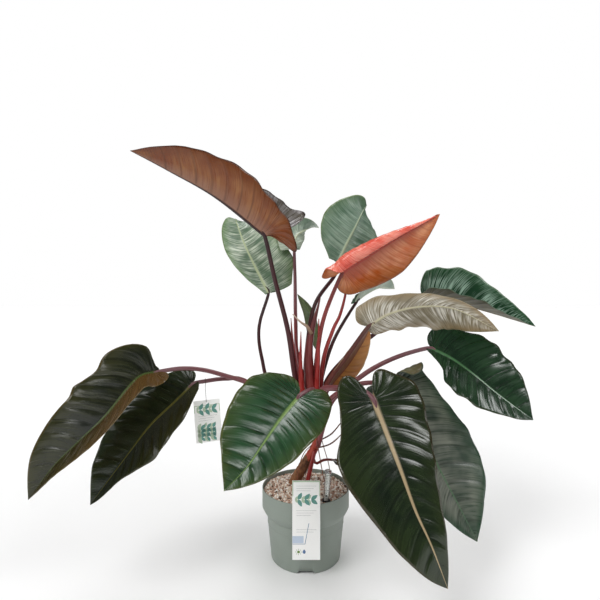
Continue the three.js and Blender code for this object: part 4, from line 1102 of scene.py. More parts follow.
LEAVES: tuple[Leaf, ...] = (
    Leaf("copper_leaf", COPPER, STALK_DARK, "blade_copper", "stalk_dark",
         midrib=((-111, -40, 877), (-235, -85, 971), (-345, -122, 1029), (-430, -150, 1070)),
         face=((0.35, 0.2, 0.9), (0.45, -0.1, 0.9)),
         width=((125, 112, 100, 95, 90), (80, 102, 112, 115, 112)), fold=((62, 60), (62, 60)),
         curl=((20, 40), (20, 50)), lobe=(1, 1.4),
         stalk=((-111, -40, 877), (-84, -25, 760), (-49, -18, 622), (-24, -16, 470), (10, -10, 405)),
         radius=(8, 5.5), bend=(78, -25),
         trim=((1, 1, 1.1, 1.15, 1.05, 1, 1, 1, 1, 1, 1),
               (3, 1.9, 1.3, 1.05, 1, 1, 1, 1, 1, 1, 1))),
    Leaf("back_left_leaf", PALE, STALK_DARK, "blade_pale", "stalk_dark",
         midrib=((-111, 110, 726), (-150, 125, 800), (-190, 155, 880), (-222, 205, 957), (-238, 290, 985)),
         face=((-0.1, 0.9, -0.3), (-0.2, 0.9, 0.1)), width=((18, 62, 86, 90, 90), (88, 132, 128, 105, 90)),
         fold=((5, 5), (5, 5)), curl=((10, 20), (10, 20)), lobe=(0, 0.1),
         stalk=((-111, 110, 726), (-135, 100, 645), (-139, 90, 594), (-129, 75, 536), (-103, 50, 458),
                (-30, 22, 405), (30, 5, 372)),
         radius=(6, 4.5), ruffle=1.5,
         trim=((0.5, 0.5, 0.55, 0.6, 0.72, 0.8, 0.85, 0.9, 0.95, 1, 1),
               (1, 1, 1, 1, 1, 1, 1, 1, 1, 1, 1))),
    Leaf("back_small_leaf", SILVER, STALK_PINK, "blade_pale", "stalk_pink",
         midrib=((-34, 140, 867), (-28, 165, 905), (-2, 210, 932), (28, 280, 955), (52, 360, 966)),
         face=((0.1, 0.9, -0.2), (0.1, 0.3, 0.9)), width=((50, 75, 75, 75, 70), (25, 50, 60, 60, 60)),
         fold=((10, 5), (10, 5)), curl=((20, 20), (20, 20)), lobe=(0.1, 0.1),
         stalk=((-34, 140, 867), (-31, 120, 766), (-29, 90, 645), (-21, 50, 479), (16, 18, 405)),
         radius=(7, 5),
         trim=((0.85, 0.9, 0.95, 1, 0.95, 0.8, 0.55, 0.4, 0.3, 0.3, 0.5),
               (0.8, 0.8, 0.8, 0.8, 0.7, 0.5, 0.4, 0.4, 0.4, 0.4, 0.5))),
    Leaf("top_round_leaf", CLOUDY, STALK_DARK, "blade_pale", "stalk_dark",
         midrib=((96, 60, 816), (120, 76, 866), (153, 104, 930), (182, 145, 985), (200, 196, 1012)),
         face=((-0.1, 0.9, -0.3), (0, 0.8, 0.4)), width=((45, 92, 102, 92, 80), (90, 118, 132, 140, 140)),
         fold=((5, 5), (10, 10)), curl=((10, 20), (20, 40)), lobe=(0, 0.2),
         stalk=((96, 60, 816), (85, 50, 776), (27, 35, 691), (4, 28, 563), (2, 22, 460), (26, 14, 410)),
         radius=(7, 5),
         trim=((0.4, 0.4, 0.5, 0.65, 0.85, 1, 1.15, 1.3, 1.4, 1.35, 1.1),
               (1, 1, 1, 1.05, 1.15, 1.2, 1.22, 1.24, 1.15, 1, 1))),
    Leaf("coral_leaf", CORAL, STALK_RED, "blade_coral", "stalk_red",
         midrib=((100, -20, 779), (156, -35, 815), (225, -55, 858), (349, -80, 929)),
         face=((0, -1, 0), (0, -1, 0)), width=((80, 85, 95, 95, 80), (80, 85, 85, 80, 60)),
         fold=((-10, -5), (10, 10)), curl=((-30, -10), (265, 235)), lobe=(0.7, 1),
         stalk=((100, -20, 779), (53, -10, 664), (34, 0, 566), (24, 2, 454), (30, 2, 415)), radius=(7, 5),
         flat=(0, 0.22), furrow=0.55, tapered_roll=True,
         trim=((1, 1, 1, 1, 1.05, 1.12, 1.1, 1.02, 0.95, 0.95, 1),
               (1.1, 1.1, 1.1, 1.15, 1.3, 1.3, 1.22, 1.1, 0.95, 0.8, 0.65))),
    Leaf("pale_right_leaf", GREIGE, STALK_BROWN, "blade_greige", "stalk_red",
         midrib=((166, -60, 635), (217, -80, 669), (291, -105, 688), (370, -135, 682), (464, -165, 630)),
         face=((0.1, 0.75, 0.6), (0.1, 0.7, 0.6)), width=((85, 62, 50, 52, 56), (55, 80, 108, 112, 100)),
         fold=((5, 5), (5, 5)), curl=((40, 40), (10, 10)), lobe=(0.3, 0.15),
         stalk=((166, -60, 635), (119, -42, 565), (64, -26, 486), (36, -14, 410)), radius=(8, 5.5),
         ruffle=2.0,
         trim=((0.9, 0.8, 0.7, 0.72, 0.8, 0.8, 0.78, 0.75, 0.8, 0.9, 1),
               (0.8, 0.8, 0.8, 0.82, 0.92, 1, 1.02, 1.03, 1.05, 1.05, 1))),
    Leaf("upper_right_leaf", SEA_GREEN, STALK_DARK, "blade_green", "stalk_dark",
         midrib=((341, 30, 705), (420, 18, 697), (500, 0, 675), (619, -40, 634)),
         face=((0.1, -0.2, 0.9), (0.3, -0.2, 0.9)), width=((85, 90, 90, 85, 80), (90, 108, 108, 96, 90)),
         fold=((30, 4), (58, 58)), curl=((10, 10), (10, 10)), lobe=(0.3, 0.3),
         stalk=((341, 30, 705), (238, 48, 633), (197, 54, 603), (127, 48, 547), (64, 32, 478),
                (40, 14, 405)),
         radius=(8, 5),
         trim=((1, 1, 1, 1, 1, 1, 1.05, 1.15, 1.25, 1.2, 1),
               (1, 1, 1, 1.04, 1.03, 1, 0.95, 0.9, 0.85, 0.9, 1))),
    Leaf("right_dark_leaf", DARK, STALK_PINK, "blade_dark", "stalk_pink",
         midrib=((335, -40, 576), (387, -55, 549), (435, -80, 513), (494, -105, 461), (565, -130, 406)),
         face=((0.35, -0.8, 0.45), (0.35, -0.8, 0.45)),
         width=((34, 72, 94, 100, 102), (75, 105, 120, 125, 125)), fold=((10, 10), (20, 10)),
         curl=((-10, -10), (-10, -10)), lobe=(0.2, 0.4),
         stalk=((335, -40, 576), (267, -40, 559), (204, -37, 532), (150, -34, 498), (77, -30, 438),
                (52, -22, 375), (34, -4, 300)),
         radius=(8, 5.5), ruffle=1.6,
         trim=((0.6, 0.5, 0.45, 0.5, 0.75, 1.12, 1.2, 1.08, 0.95, 1, 1),
               (1, 1, 1, 1, 1.02, 1.07, 1.1, 1.15, 1.2, 1.25, 1))),
    Leaf("front_large_leaf", BLACK, STALK_PINK, "blade_dark", "stalk_pink",
         midrib=((154, -200, 475), (177, -240, 408), (200, -280, 340), (224, -310, 267), (251, -330, 206),
                 (281, -340, 125)),
         face=((0.2, -0.8, 0.5), (0.3, -0.8, 0.4)),
         width=((100, 118, 132, 135, 138), (95, 105, 100, 95, 88)), fold=((5, 5), (5, 0)),
         curl=((-10, -20), (-10, -20)), lobe=(1, 1),
         stalk=((154, -200, 475), (129, -180, 490), (83, -140, 487), (45, -90, 475), (30, -45, 440),
                (26, -16, 395)),
         radius=(9, 6.5), rib=1.5,
         trim=((1, 1, 0.98, 0.92, 0.93, 1.12, 1.05, 0.9, 0.9, 0.93, 1),
               (1, 1.02, 1.1, 1.38, 1.22, 1.04, 1, 0.97, 0.92, 0.92, 1))),
    Leaf("front_right_leaf", GREY_GREEN, STALK_PINK, "blade_green", "stalk_pink",
         midrib=((236, -60, 480), (281, -95, 395), (335, -130, 277), (369, -155, 207), (407, -175, 128)),
         face=((0.3, -0.85, 0.4), (0.3, -0.85, 0.4)),
         width=((95, 105, 110, 105, 110), (112, 126, 142, 148, 150)), fold=((5, 10), (5, 10)),
         curl=((-10, -20), (-10, -20)), lobe=(1.1, 1),
         stalk=((236, -60, 480), (157, -60, 485), (95, -52, 462), (55, -34, 420), (38, -14, 350)),
         radius=(8, 5.5), bend=(0, 24), scroll=(10, -13),
         trim=((1, 1, 1, 1, 1, 1, 1, 1, 1, 1, 1),
               (1, 1, 1, 0.95, 0.92, 0.96, 1.1, 1.18, 1.18, 1.1, 1))),
    Leaf("front_left_leaf", GREEN, STALK_PINK, "blade_green", "stalk_pink",
         midrib=((-16, -150, 471), (-62, -225, 432), (-96, -285, 396), (-125, -340, 366), (-158, -400, 348)),
         face=((0.1, -0.6, 0.8), (0.1, -0.6, 0.7)), width=((97, 116, 121, 117, 112), (90, 95, 92, 88, 84)),
         fold=((20, 25), (5, 0)), curl=((-10, -20), (-10, -20)), lobe=(0.65, 1),
         stalk=((-16, -150, 471), (6, -125, 478), (20, -85, 470), (22, -45, 430), (30, -4, 374)),
         radius=(8, 6),
         trim=((0.85, 0.9, 0.95, 1, 1.06, 1.05, 1.02, 1.03, 1.08, 1.1, 1),
               (1, 1, 1, 1, 1, 1, 1, 0.97, 0.9, 0.85, 1))),
    Leaf("far_left_leaf", OLIVE, STALK_PINK, "blade_olive", "stalk_pink",
         midrib=((-371, -130, 526), (-414, -150, 512), (-473, -185, 433), (-528, -205, 377),
                 (-578, -220, 325), (-630, -230, 253)),
         face=((0.18, -0.96, 0.21), (0.18, -0.96, 0.21)),
         width=((62, 112, 110, 104, 100), (90, 90, 90, 80, 80)), fold=((10, 10), (65, 65)),
         curl=((-10, -20), (0, 0)), lobe=(0.1, 0.3),
         stalk=((-371, -130, 526), (-312, -125, 534), (-260, -112, 528), (-208, -92, 510), (-147, -68, 484),
                (-56, -32, 425), (32, -2, 336)),
         radius=(7, 5), ruffle=1.2,
         trim=((0.2, 0.2, 0.2, 0.2, 0.22, 0.25, 0.35, 0.95, 1.02, 0.8, 0.85, 0.97, 0.93, 0.98,
                1.03, 1.05, 1.06, 1.05, 1.03, 1, 1),
               (1, 1, 1, 1, 1, 1, 1.1, 1.2, 1.2, 1.1, 1))),
    Leaf("left_dark_leaf", NIGHT, STALK_PINK, "blade_dark", "stalk_pink",
         midrib=((-291, -92, 489), (-331, -112, 447), (-384, -130, 396), (-433, -145, 332),
                 (-521, -165, 211)),
         face=((-0.1, -0.9, 0.4), (-0.1, -0.9, 0.4)), width=((75, 95, 97, 95, 95), (50, 70, 80, 80, 78)),
         fold=((5, 10), (34, 26)), curl=((-10, -20), (-10, -20)), lobe=(0.4, 0.2),
         stalk=((-291, -92, 489), (-262, -88, 495), (-210, -74, 499), (-159, -52, 488), (-50, -12, 405),
                (18, 2, 320)),
         radius=(7, 5), ruffle=1.8,
         trim=((0.6, 0.65, 0.75, 0.8, 0.95, 1.05, 1.12, 1.2, 1.25, 1.2, 1),
               (0.5, 0.5, 0.55, 0.65, 0.9, 1.12, 1.2, 0.95, 0.7, 0.75, 1))),
    Leaf("amber_leaf", AMBER, STALK_PINK, "blade_amber", "stalk_pink",
         midrib=((68, -2, 465), (118, 0, 523), (160, 4, 586), (181, 6, 626)),
         face=((0.3, -0.9, -0.3), (0.3, -0.9, -0.3)), width=((12, 36, 42, 42, 34), (16, 50, 58, 56, 44)),
         fold=((20, 20), (20, 20)), curl=((20, 20), (20, 20)), lobe=(0, 0),
         stalk=((68, -2, 465), (56, -2, 440), (42, -4, 395)),
         radius=(6, 4)),
    Leaf("back_pointed_leaf", DARK, STALK_RED, "blade_green", "stalk_red",
         midrib=((38, 60, 560), (30, 72, 610), (12, 88, 670), (-24, 112, 724)),
         face=((-0.3, 0.8, 0.2), (-0.3, 0.8, 0.2)), width=((8, 25, 28, 28, 25), (8, 25, 28, 28, 25)),
         fold=((30, 30), (30, 30)), curl=((20, 20), (20, 20)), lobe=(0, 0),
         stalk=((38, 60, 560), (38, 46, 500), (33, 8, 420)),
         radius=(5.5, 4)),
    Leaf("behind_coral_leaf", SILVER, STALK_DARK, "blade_green", "stalk_dark",
         midrib=((150, 62, 700), (188, 104, 724), (240, 160, 744), (300, 238, 742)),
         face=((-0.2, 0.5, 0.8), (-0.2, 0.5, 0.8)), width=((20, 45, 50, 50, 45), (20, 45, 50, 50, 45)),
         fold=((20, 20), (20, 20)), curl=((20, 20), (20, 20)), lobe=(0.3, 0.3),
         stalk=((150, 62, 700), (84, 44, 594), (48, 28, 490), (36, 14, 410)),
         radius=(6.5, 4.5)),
    Leaf("low_leaf", PURPLE, STALK_RED, "blade_dark", "stalk_red",
         midrib=((78, 15, 254), (105, -15, 250), (135, -50, 228), (158, -78, 180)),
         face=((0.4, -0.3, 0.8), (0.8, -0.3, 0.5)), width=((10, 36, 40, 40, 30), (10, 36, 40, 40, 30)),
         fold=((20, 20), (20, 20)), curl=((-20, -20), (-20, -20)), lobe=(0, 0),
         stalk=((77, 14.9, 254), (52, 12, 255), (30, 10, 246), (22, 4, 262)),
         radius=(4, 3.2)),
)


# Stem, sheaths and roots


class Shape(Enum):
    """What a rod round the crown is, which settles its cross-section."""

    SHEATH = "sheath"
    STUMP = "stump"
    STEM = "stem"
    DRY_STALK = "dry stalk"
    ROOT = "root"
    HUSK = "husk"

    def section(self, angle: Array, share: Array) -> Array:
        """Factor on the radius for an angle round the rod and a share of its length.

        A sheath is a boat: hollowed on one side, with two thin keels. The stump has a scar ring every twelfth
        of its length and flat patches. The stem swells at each of five joints. A husk is a thin half shell,
        and a dry stalk and a root are shrivelled into a few lobes that wind along them.

        Args:
            angle: radians round the rod.
            share: 0 at the foot and 1 at the top.

        Returns:
            The factor, of the two arrays' common shape.
        """
        if self is Shape.SHEATH:
            hollow = 0.3 * np.exp(-((angle - 1.5 * np.pi) / 0.5) ** 2) * smoothstep(0.05, 0.3, share)
            keels = sum(np.exp(-((angle - a) / 0.16) ** 2) for a in (0.9, 2.24))
            return 1.0 - hollow + 0.14 * keels * smoothstep(1, 0.8, share)
        if self is Shape.STUMP:
            rings = np.exp(-(((12 * share + 0.15 * np.sin(angle + 2)) % 1 - 0.5) / 0.14) ** 2)
            patches = 0.03 * np.sin(3 * angle + 7 * share)
            return 0.93 + 0.07 * rings + patches + 0.02 * np.sin(11 * angle - 20 * share)
        if self is Shape.STEM:
            return 0.93 + 0.08 * np.exp(-(((5 * share) % 1 - 0.5) / 0.1) ** 2) + 0.02 * np.sin(5 * angle)
        if self is Shape.HUSK:
            return 1 - 0.8 * np.exp(-((angle - 1.5 * np.pi) / 0.9) ** 2)
        if self is Shape.DRY_STALK:
            return 0.85 + 0.15 * np.sin(2 * angle + 9 * share)
        return 0.92 + 0.08 * np.sin(3 * angle + 15 * share)


@dataclass(frozen=True)
class Rod:
    """A tapered rod round the crown: its route from the foot up and its radius at each end, in mm."""

    name: str
    shape: Shape
    finish: StalkFinish | GroundFinish
    slot: str
    route: Sequence[Point]
    radius: tuple[float, float]
    in_frame: bool = True  # whether it stands for a CAD node of its name

    def build(self, finishes: dict[str, Material]) -> None:
        """Makes the rod, in place of the CAD node of its name where it has one.

        Args:
            finishes: materials by name, made once each.
        """
        foot, top = self.radius
        fullness = 1 / 0.7 if self.shape is Shape.SHEATH else 1.0  # above 1, it keeps its width for longer

        def radius(share: Array) -> Array:
            """Tapers from the foot's radius to the top's, by a power of the share."""
            return top + (foot - top) * (1 - share ** fullness)

        sides, spacing = (12, 3.0) if foot < 4 else (40, 3.5)
        surface = tube(self.route, radius, sides, spacing, self.shape.section)
        if self.finish.name not in finishes:
            finishes[self.finish.name] = self.finish.material()
        stands_for = (self.name,) if self.in_frame else ()
        Piece(self.name + "_skin", self.slot, stands_for).build(surface, finishes[self.finish.name])


RODS: tuple[Rod, ...] = (
    Rod("woody_stump", Shape.STUMP, BARK, "bark",
        ((-42, 32, 112), (-34, 28, 178), (-10, 20, 228), (12, 12, 266)),
        (18, 14)),
    Rod("red_stem", Shape.STEM, STEM, "stalk_red",
        ((8, 13, 258), (30, 3, 305), (38, 0, 355), (32, 0, 405), (26, 0, 440)), (13.5, 10)),
    Rod("red_shoot", Shape.SHEATH, SHEATH, "sheath_red",
        ((-2, -10, 132), (0, -8, 178), (10, -8, 225), (26, -12, 290)), (7, 5)),
    Rod("spear", Shape.SHEATH, SHEATH, "sheath_red",
        ((12, -24, 400), (-8, -26, 450), (-14, -26, 520), (-13, -26, 619)), (9, 1)),
    Rod("left_sheath", Shape.SHEATH, SHEATH, "sheath_red",
        ((12, 2, 420), (-22, 2, 480), (-34, 2, 560), (-41, 2, 655)), (8, 1)),
    Rod("inner_left_sheath", Shape.SHEATH, SHEATH, "sheath_red",
        ((16, 8, 430), (-10, 10, 500), (-24, 12, 570), (-32, 12, 639)), (7, 1)),
    Rod("broad_sheath", Shape.SHEATH, BROAD, "stalk_red",
        ((22, -6, 425), (10, -4, 500), (12, 0, 590), (41, 6, 711)), (16.5, 1.5)),
    Rod("light_sheath", Shape.SHEATH, SHEATH, "sheath_red",
        ((32, -18, 425), (31, -20, 480), (35, -20, 560), (36, -20, 654)), (8, 1.2)),
    Rod("red_spike", Shape.SHEATH, SHEATH, "sheath_red",
        ((40, -2, 430), (50, -2, 540), (76, 2, 620), (96, 6, 662), (110, 8, 712), (114, 8, 744)), (7, 3)),
    Rod("upper_dead_stalk", Shape.DRY_STALK, ROOT, "dead_stalk",
        ((36, 0, 312), (72, 6, 330), (100, 10, 360), (150, 14, 410)), (2.2, 1.8)),
    Rod("lower_dead_stalk", Shape.DRY_STALK, ROOT, "dead_stalk",
        ((32, 4, 291), (72, 10, 302), (110, 16, 334), (150, 20, 368)), (2.2, 1.8)),
    Rod("aerial_root_front", Shape.ROOT, ROOT, "stalk_red",
        ((30, -8, 330), (36, -22, 290), (44, -30, 245), (52, -34, 205), (56, -34, 172)), (1.5, 1.1), False),
    Rod("aerial_root_side", Shape.ROOT, ROOT, "stalk_red",
        ((36, -6, 352), (50, -16, 300), (64, -22, 250), (66, -26, 205), (62, -30, 172)), (1.3, 1.0), False),
    Rod("aerial_root_back", Shape.ROOT, ROOT, "stalk_red",
        ((26, 12, 318), (22, 34, 280), (6, 48, 230), (-4, 54, 172)), (1.6, 1.1), False),
    Rod("aerial_root_left", Shape.ROOT, ROOT, "stalk_red",
        ((16, 2, 300), (-6, -12, 280), (-20, -26, 240), (-26, -34, 172)), (1.3, 1.0), False),
    Rod("dried_husk", Shape.HUSK, DRY, "dead_stalk",
        ((16, -6, 612), (4, -16, 632), (-14, -25, 645), (-36, -32, 667)), (5.5, 1.2), False),
)


# Pot and granules


@dataclass
class NurseryPot:
    """The injection-moulded pot, in mm: a tapered body with a ledge, a collar, a foot ring and drains."""

    height: float = 190
    rim_radius: float = 120
    foot_radius: float = 95
    waist_radius: float = 107
    waist_height: float = 120  # where the body ends and the collar starts, 1 mm further out
    swell: float = 20  # height over which the collar widens to the rim's radius
    wall: float = 2.4
    floor: float = 12  # height of the floor inside
    foot_depth: float = 9  # how far the underside is raised between its middle pad and the foot ring
    pad_radius: float = 21
    ring_inside: float = 87
    ledge_height: float = 95
    ledge_depth: float = 0.6
    notch_half: float = 22.5  # half the width of a notch in the foot ring, at the bottom
    notch_slope: float = 5
    notch_height: float = 8.5
    drains: int = 5
    drain_radius: float = 5
    drain_circle: float = 62
    segments: int = 180

    def radius(self, z: Array) -> Array:
        """Outer radius: an even taper, then a collar that widens by a power of its height, then straight.

        Args:
            z: heights in mm.

        Returns:
            The radius at each height.
        """
        z = np.asarray(z, float)
        body = self.foot_radius + (self.waist_radius - self.foot_radius) * z / self.waist_height
        start = self.waist_radius + 1
        rise = np.clip((z - self.waist_height) / self.swell, 0, 1)
        return np.where(z < self.waist_height, body, start + (self.rim_radius - start) * rise ** 0.8)

    def notched(self, angle: Array, radius: Array, height: Array) -> Array:
        """Lifts the foot ring's lower edge over three notches with sloping sides.

        Args:
            angle, radius, height: place of each point of the turned pot.

        Returns:
            The new heights.
        """
        third = 2 * np.pi / 3
        off = (angle + np.pi / 2 + third / 2) % third - third / 2
        edge = self.notch_height * np.clip((self.notch_half - np.abs(off) * radius) / self.notch_slope, 0, 1)
        in_ring = (radius > self.ring_inside - 7) & (height < self.foot_depth)
        return np.where(in_ring, np.maximum(height, edge), height)

    def on_wall(self, z: float, out: float = 0.0, rounding: float = 0.0) -> tuple[float, float, float]:
        """A corner at a height, set out from the wall's outside by a distance, with its rounding."""
        return float(self.radius(z)) + out, z, rounding

    def profile(self) -> Array:
        """The pot's section, from the middle of its underside up the outside and down the inside.

        Returns:
            Rows of radius and height.
        """
        ledge, deep, raised = self.ledge_height, self.ledge_depth, self.foot_depth
        foot = [(0.0, 0.0, 0.0), (self.pad_radius, 0.0, 1.0), (self.pad_radius + 0.4, raised, 1.0),
                (self.ring_inside - 0.4, raised, 1.0), (self.ring_inside, 0.0, 1.2),
                (self.foot_radius, 0.0, 2.0)]
        body = [self.on_wall(z) for z in (30, 60, 90)] + [self.on_wall(ledge - 0.8, 0.0, 0.3)]
        body += [(float(self.radius(ledge)) + deep, z, 0.4) for z in (ledge - 0.4, ledge + 0.8)]
        body += [self.on_wall(ledge + 1.4, 0.0, 0.3), (self.waist_radius, self.waist_height, 0.6)]
        collar = [self.on_wall(z) for z in (121, 123, 126, 130, 135, 139.9, 146)]
        rim = [(self.rim_radius - inwards, self.height, 1.0) for inwards in (0.0, self.wall)]
        inside = [self.on_wall(z, -self.wall) for z in (146, 140, 135, 130, 126, 122, 118, 60)]
        inside += [self.on_wall(self.floor, -self.wall, 3.0), (0.0, self.floor, 0.0)]
        return rounded([*foot, *body, *collar, *rim, *inside])

    def cut_drains(self, pot: Object) -> None:
        """Cuts the drain holes through the floor, and leaves the pot a plain mesh.

        Args:
            pot: the pot's object.
        """
        drain = np.array([[0, -2], [self.drain_radius, -2], [self.drain_radius, 20], [0, 20]], float)
        angles = 2 * np.pi * (np.arange(self.drains) + 0.5) / self.drains
        reach = self.drain_circle
        holes = join([lathe(drain, 24).moved((reach * math.cos(a), reach * math.sin(a), 0)) for a in angles])
        mesh = holes.mesh("drain_cutter")
        point_outwards(mesh, 0.01 * MM)
        cutter = new_object("drain_cutter", mesh)
        cut = pot.modifiers.new("drains", "BOOLEAN")
        cut.object, cut.operation, cut.solver = cutter, "DIFFERENCE", "EXACT"
        bpy.context.view_layer.update()
        whole = bpy.data.meshes.new_from_object(pot.evaluated_get(bpy.context.evaluated_depsgraph_get()))
        pot.modifiers.remove(cut)
        pot.data = whole
        bpy.data.objects.remove(cutter)

    def build(self) -> None:
        """Makes the pot, with its drains cut through the floor."""
        piece = Piece("nursery_pot_moulding", "pot_plastic", ("nursery_pot",))
        surface = lathe(self.profile(), self.segments, self.notched)
        self.cut_drains(piece.build(surface, POT_PLASTIC.material(), 0.01))


def icosahedron() -> tuple[Array, Array]:
    """The solid of twenty triangles: three golden rectangles' corners, each joined to those 1.05 radii away.

    Returns:
        Twelve corners at a radius of one, and the corner numbers of twenty faces that point outwards.
    """
    golden = (1 + math.sqrt(5)) / 2
    corners = np.array([(0, s, t * golden) for s in (-1, 1) for t in (-1, 1)], float)
    shape = np.concatenate([corners, corners[:, [1, 2, 0]], corners[:, [2, 0, 1]]]) / math.hypot(1, golden)
    near = np.linalg.norm(shape[:, None] - shape[None], axis=-1)
    linked = (near > 0.1) & (near < 1.2)
    i, j, k = np.meshgrid(*[np.arange(12)] * 3, indexing="ij")
    joined = (i < j) & (j < k) & linked[i, j] & linked[j, k] & linked[i, k]
    solid = np.stack([a[joined] for a in (i, j, k)], 1)
    first, second, third = (shape[solid[:, n]] for n in range(3))
    inwards = np.einsum("ij,ij->i", np.cross(second - first, third - first), first) < 0
    solid[inwards] = solid[inwards][:, ::-1]
    return shape, solid


@dataclass
class Granules:
    """The mineral mix, in mm: one body inside the pot and, on its top, loose grains of 3 to 9 mm."""

    pot: NurseryPot
    top: float = 179
    bottom: float = 16
    edge: float = 116.1  # radius of the top
    clearance: float = 3.2  # from the outside of the pot's body
    bump: float = 3.2
    heap: float = 4  # how far the top is heaped up in the middle
    sunk: float = 1.2  # how far the body's top lies below the middle of the grains
    inset: float = 2.4  # from the edge to the middle of the outermost grains
    count: int = 2300
    seed: int = 12

    def level(self, x: Array, y: Array) -> Array:
        """Height of the top: crossed waves of 12 to 16 mm and a low heap in the middle, faded at the wall.

        Args:
            x, y: places in mm.

        Returns:
            The height at each place.
        """
        waves = (np.sin(0.43 * x + 1.3) * np.sin(0.39 * y + 0.4)
                 + 0.7 * np.sin(0.31 * (x + y)) * np.cos(0.36 * (x - y) + 2))
        heap = self.heap * np.exp(-(x * x + y * y) / 3600)
        return self.top + (self.bump * 0.6 * waves + heap) * np.clip((self.edge - np.hypot(x, y)) / 12, 0, 1)

    def body(self) -> Surface:
        """The filled body under the grains: a bumpy disc, a wall down inside the pot and a flat bottom.

        Returns:
            The turned body.
        """
        radii = self.edge * (1 - np.linspace(0, 1, 50) ** 1.2)
        wall = [[float(self.pot.radius(z)) - self.clearance, z] for z in (self.bottom, 118)]
        wall += [[self.edge + 0.5, z] for z in (141, 172)]
        profile = np.array([[0, self.bottom], *wall, *[[r, self.top] for r in radii]], float)

        def lift(angle: Array, radius: Array, height: Array) -> Array:
            """Bumps on the top alone."""
            bumpy = self.level(radius * np.cos(angle), radius * np.sin(angle)) - self.sunk
            return np.where(height > self.top - 0.1, bumpy, height)

        return lathe(profile, 120, lift)

    def grains(self) -> Surface:
        """Loose grains: icosahedra stretched, turned and set down at seeded places on a sunflower's spiral.

        Grain k of n stands at the root of k / n of the reach, turned by the golden angle from the one before,
        with a small random shift.

        Returns:
            All the grains, with a field "shade" that is even over each.
        """
        rng = np.random.default_rng(self.seed)
        shape, solid = icosahedron()
        reach = self.edge - self.inset
        radius = reach * np.sqrt((np.arange(self.count) + 0.5) / self.count)
        angle = np.arange(self.count) * math.pi * (3 - math.sqrt(5))
        x = radius * np.cos(angle) + rng.normal(0, 0.5, self.count)
        y = radius * np.sin(angle) + rng.normal(0, 0.5, self.count)
        held = np.minimum(1, reach / np.hypot(x, y))
        x, y = x * held, y * held
        size = rng.uniform(2.2, 3.7, (self.count, 1, 3)) * rng.choice([0.7, 1, 1.25], (self.count, 1, 1))
        turn = np.linalg.qr(rng.normal(size=(self.count, 3, 3)))[0]
        lumpy = shape[None] * rng.uniform(0.85, 1.1, (self.count, 12, 1)) * size
        points = np.einsum("nij,nkj->nki", turn, lumpy)
        points[..., :2] += np.stack([x, y], -1)[:, None]
        points[..., 2] += (self.level(x, y) + rng.uniform(-0.8, 1.0, self.count))[:, None]
        far = np.hypot(points[..., 0], points[..., 1])
        points[..., :2] *= np.minimum(1, (self.edge + 0.6) / far)[..., None]  # inside the pot's wall
        faces = (solid[None] + 12 * np.arange(self.count)[:, None, None]).reshape(-1, 3)
        shade = np.repeat(rng.uniform(0, 0.999, self.count), 12)
        return Surface(points.reshape(-1, 3), [faces], [np.zeros((len(faces), 3, 2))], {"shade": shade})

    def build(self) -> None:
        """Makes the body and its grains."""
        Piece("granule_body", "mineral_granules", ("granules",)).build(self.body(), SOIL.material(), 0.01)
        Piece("granule_grains", "mineral_granules", smooth=False).build(self.grains(), GRAINS.material())


# Prints, gauge and thread


def disc(x: float, z: float, size: float) -> Array:
    """Outline of a disc of that width."""
    a = np.linspace(0, 2 * np.pi, 40, endpoint=False)
    return np.stack([x + size / 2 * np.cos(a), z + size / 2 * np.sin(a)], 1)


def oblong(x0: float, z0: float, x1: float, z1: float) -> Array:
    """Outline of a rectangle between two corners."""
    return np.array([[x0, z0], [x1, z0], [x1, z1], [x0, z1]], float)


def lens(x: float, z: float, length: float, width: float, turn: float) -> Array:
    """Outline of a pointed leaf shape: its half width follows a power of a sine, wider towards the foot.

    Args:
        x, z: where it grows from, in mm.
        length, width: its size in mm.
        turn: degrees clockwise from straight up.

    Returns:
        Rows of x and z.
    """
    t = np.linspace(0, 1, 20)
    w = width / 2 * np.sin(np.pi * t) ** 0.8 * (1.25 - 0.5 * t)
    px, pz = np.r_[w, -w[::-1][1:-1]], np.r_[t, t[::-1][1:-1]] * length
    c, s = math.cos(math.radians(-turn)), math.sin(math.radians(-turn))
    return np.stack([x + px * c - pz * s, z + px * s + pz * c], 1)


